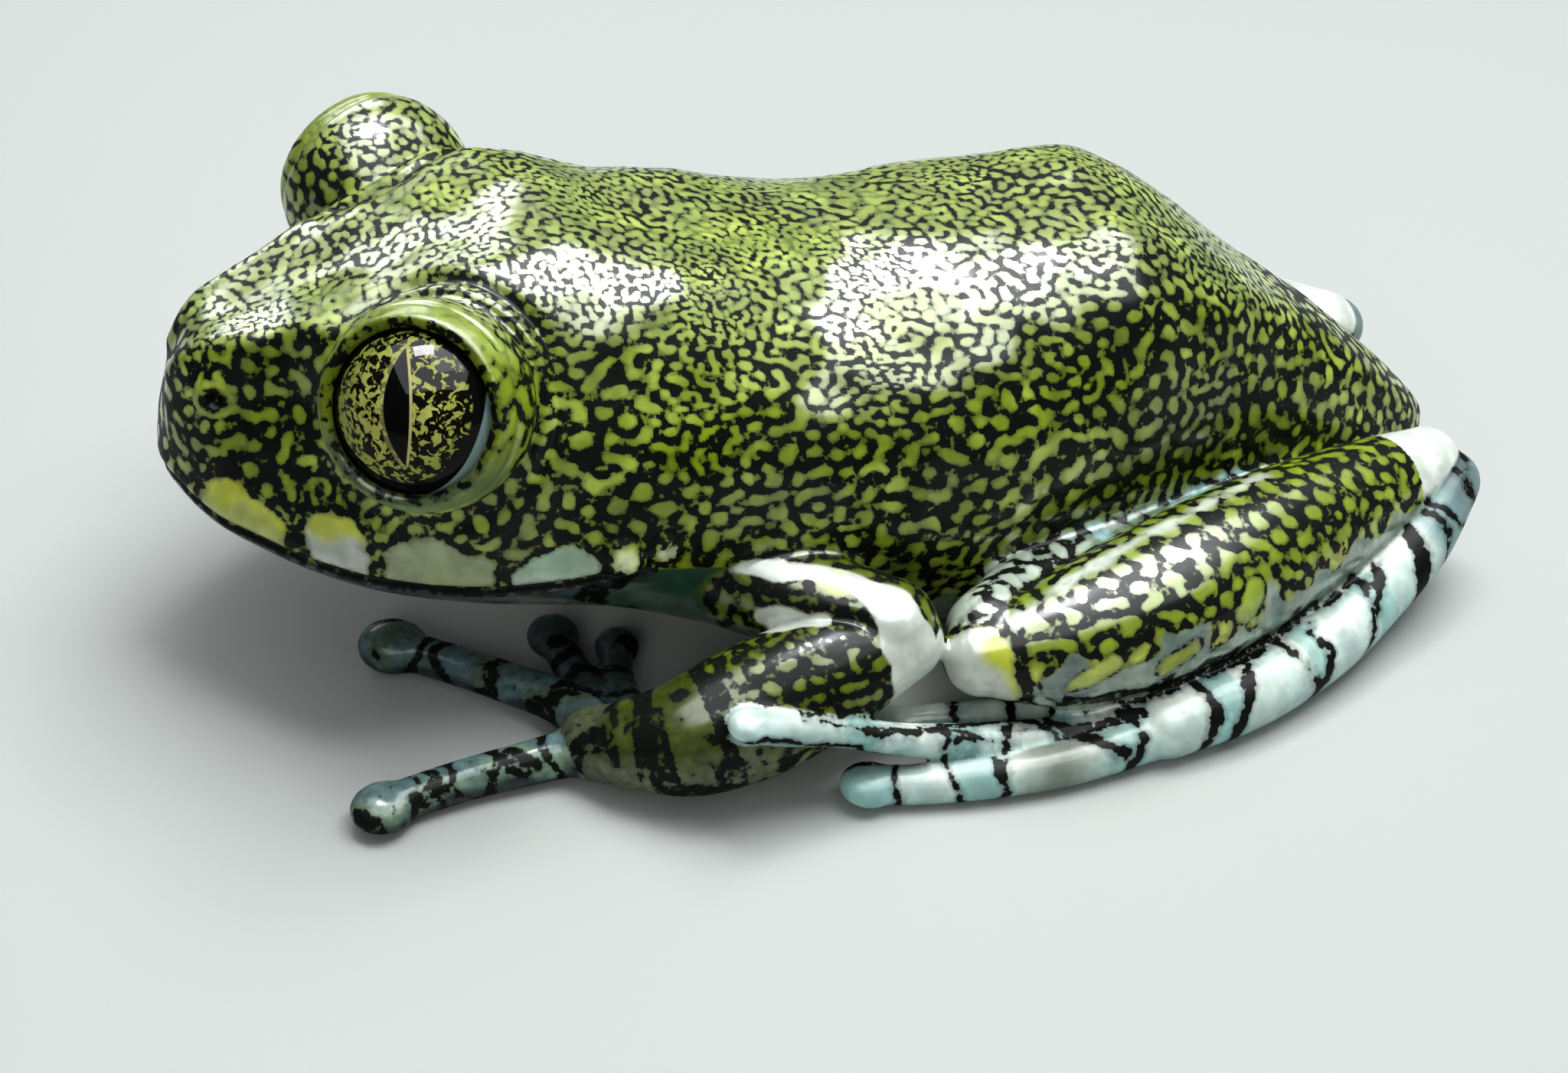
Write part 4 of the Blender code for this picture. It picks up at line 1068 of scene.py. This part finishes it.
def eye_material():
    """The iris and the pupil, laid out by an attribute whose x and y are degrees from the pupil's middle."""
    graph = Graph("frog_eye")
    math_of, mix, step = graph.math, graph.mix, graph.step
    flat = graph.attribute("iris", "Vector")
    parts = graph.node("SeparateXYZ", (flat,)).outputs
    right = parts[0]
    ahead = math_of("MAXIMUM", right, 0.0)
    worms = graph.noise(flat, 5.6, 2.5, 0.9)
    cloud = graph.noise(flat, 14.0, 1.0)
    reach = graph.node("VectorMath", (flat,), operation="LENGTH").outputs["Value"]
    gold = mix(cloud, GOLD_DARK, GOLD_LIGHT)
    gold = mix(step(reach, 24, 50), gold, GOLD_RIM)
    iris = mix(step(math_of("MULTIPLY_ADD", right, -0.001, worms), 0.51, 0.555), IRIS_NET, gold)
    square = math_of("POWER", math_of("DIVIDE", parts[1], PUPIL_HALF_LENGTH_DEG), 2.0)
    half = math_of("MULTIPLY_ADD", square, -PUPIL_HALF_WIDTH_DEG, PUPIL_HALF_WIDTH_DEG)
    off = math_of("ADD", math_of("ABSOLUTE", right), math_of("MULTIPLY", ahead, 0.7))
    slit = math_of("SUBTRACT", half, off)
    rim = math_of("MULTIPLY", step(slit, -3.6, -2.6), step(square, 1.15, 0.9))
    rim = math_of("MULTIPLY", rim, step(right, -3.0, 4.0, 0.35, 1.0))
    iris = mix(rim, iris, PUPIL_RIM)
    iris = mix(step(slit, -0.4, 0.3), iris, PUPIL)
    # The black edge round the iris, widened on the right side as painted shade.
    wavy = math_of("MULTIPLY_ADD", cloud, 4.0, reach)
    wavy = math_of("MULTIPLY_ADD", ahead, 0.2, wavy)
    iris = mix(step(wavy, IRIS_DEG + 1.5, IRIS_DEG + 3.5), iris, IRIS_EDGE)
    iris = mix(step(graph.attribute("membrane", "Fac"), -0.02, 0.03), iris, MEMBRANE)
    graph.shade(Base_Color=iris, Roughness=0.35, Specular_IOR_Level=0.0, Coat_Weight=0.3, Coat_Roughness=0.04,
                Coat_IOR=1.38)
    return graph.material


def make_eye(side, word, material):
    """An eye as a cap of a ball, flat behind, with its iris laid out in degrees from the pupil."""
    centre = mirrored(EYE_CENTRE, side)
    rings, segments = ((56, 160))
    profile = arc(EYE_RADIUS, 0.0, math.acos(EYE_BACK / EYE_RADIUS), rings) + [(EYE_BACK, 0.0)]
    obj = lathe(profile, gaze(side), centre, f"eye_visual_{word}", segments)
    mesh = obj.data
    way = points_of(mesh) - np.array(centre)
    way /= np.maximum(np.linalg.norm(way, axis=1), 1e-6)[:, None]
    way[:, 0] *= side
    looks = mirrored(gaze(side), side)
    lower = Matrix.Rotation(math.radians(EYE_UP_DEG[1] - EYE_UP_DEG[side]), 3, Vector((0, 0, 1)).cross(looks))
    ahead = np.array(lower @ PUPIL_WAY.normalized())
    up = np.array(lower @ PUPIL_UP)
    up -= ahead * (up @ ahead)
    up /= np.linalg.norm(up)
    angle = np.degrees(np.arccos(np.clip(way @ ahead, -1, 1)))
    flat = np.stack((way @ np.cross(up, ahead), way @ up, np.zeros(len(way))), axis=1)
    flat *= (angle / np.maximum(np.linalg.norm(flat, axis=1), 1e-6))[:, None]
    opening = np.degrees(np.arccos(np.clip(way @ np.array(looks), -1, 1)))
    opening += OPENING_DEG[1] - OPENING_DEG[side]
    turn = np.degrees(np.arctan2(flat[:, 1], flat[:, 0])) - MEMBRANE_TURN_DEG
    membrane = (opening - MEMBRANE_FROM_DEG - 0.004 * turn ** 2) / 20
    membrane = np.where(np.abs(turn) < 60, membrane, -0.1)
    flat[:, 2] = RIGHT_IRIS_OFFSET if side < 0 else 0.0
    add_attribute(mesh, "iris", "FLOAT_VECTOR", "vector", flat)
    add_attribute(mesh, "membrane", "FLOAT", "value", membrane)
    mesh.materials.append(material)
    mesh.shade_smooth()
    mesh.set_sharp_from_angle(angle=math.radians(50))
    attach(obj, "root")
    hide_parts(f"eye_{word}")


def make_camera():
    tilt, ahead, roll = (math.radians(v) for v in (CAMERA_ELEVATION_DEG, CAMERA_AHEAD_DEG, CAMERA_ROLL_DEG))
    back = Vector((math.cos(tilt) * math.cos(ahead), -math.cos(tilt) * math.sin(ahead), math.sin(tilt)))
    level = Vector((math.sin(ahead), math.cos(ahead), 0))
    rise = back.cross(level)
    right = level * math.cos(roll) + rise * math.sin(roll)
    up = rise * math.cos(roll) - level * math.sin(roll)
    data = bpy.data.cameras.new("camera")
    data.lens = LENS_MM
    data.sensor_width = SENSOR_MM
    data.clip_start = 0.005
    obj = add_object("camera", data)
    place = Matrix((right, up, back)).transposed().to_4x4()
    place.translation = (CAMERA_TARGET + back * CAMERA_DISTANCE) * MM
    obj.matrix_world = place
    bpy.context.scene.camera = obj


def area_light(name, place, target, size, power, color=COOL):
    """A light whose place and size are in millimetres and whose power is in watts."""
    data = bpy.data.lights.new(name, "AREA")
    data.shape = "RECTANGLE"
    data.size, data.size_y = (v * MM for v in size)
    data.energy = power
    data.color = color
    obj = add_object(name, data)
    obj.location = Vector(place) * MM
    obj.rotation_euler = (Vector(place) - Vector(target)).to_track_quat("Z", "Y").to_euler()
    return obj


def make_studio():
    bm = bmesh.new()
    bmesh.ops.create_grid(bm, x_segments=1, y_segments=1, size=1.5)
    floor = mesh_object("studio_floor", bm)
    graph = Graph("studio_floor")
    graph.shade(Base_Color=FLOOR, Roughness=0.7)
    floor.data.materials.append(graph.material)
    world = bpy.data.worlds.new("studio_air")
    bpy.context.scene.world = world
    world.use_nodes = True
    air = world.node_tree.nodes["Background"].inputs
    air["Color"].default_value = AIR
    air["Strength"].default_value = 0.16
    area_light("sky_light", (-30, 60, 200), (0, 0, 8), (150, 130), 0.56)
    front = area_light("front_light", (190, -110, 120), (0, -5, 8), (110, 90), 0.1, WARM)
    front.visible_glossy = False
    for shine in (area_light("overhead_shine", (-8, 25, 200), (-8, 25, 0), (310, 330), 2.35),
                  area_light("far_shine", (-210, -50, 118), (0, -12, 15), (140, 90), 0.28),
                  area_light("eye_glint", (-49, -14, 186), (8, -16, 16), (64, 48), 0.85, GLINT)):
        shine.visible_diffuse = False
    bpy.context.scene.view_settings.view_transform = "Standard"


make_camera()
make_studio()
make_skin()
eye_paint = eye_material()
make_eye(1, "left", eye_paint)
make_eye(-1, "right", eye_paint)
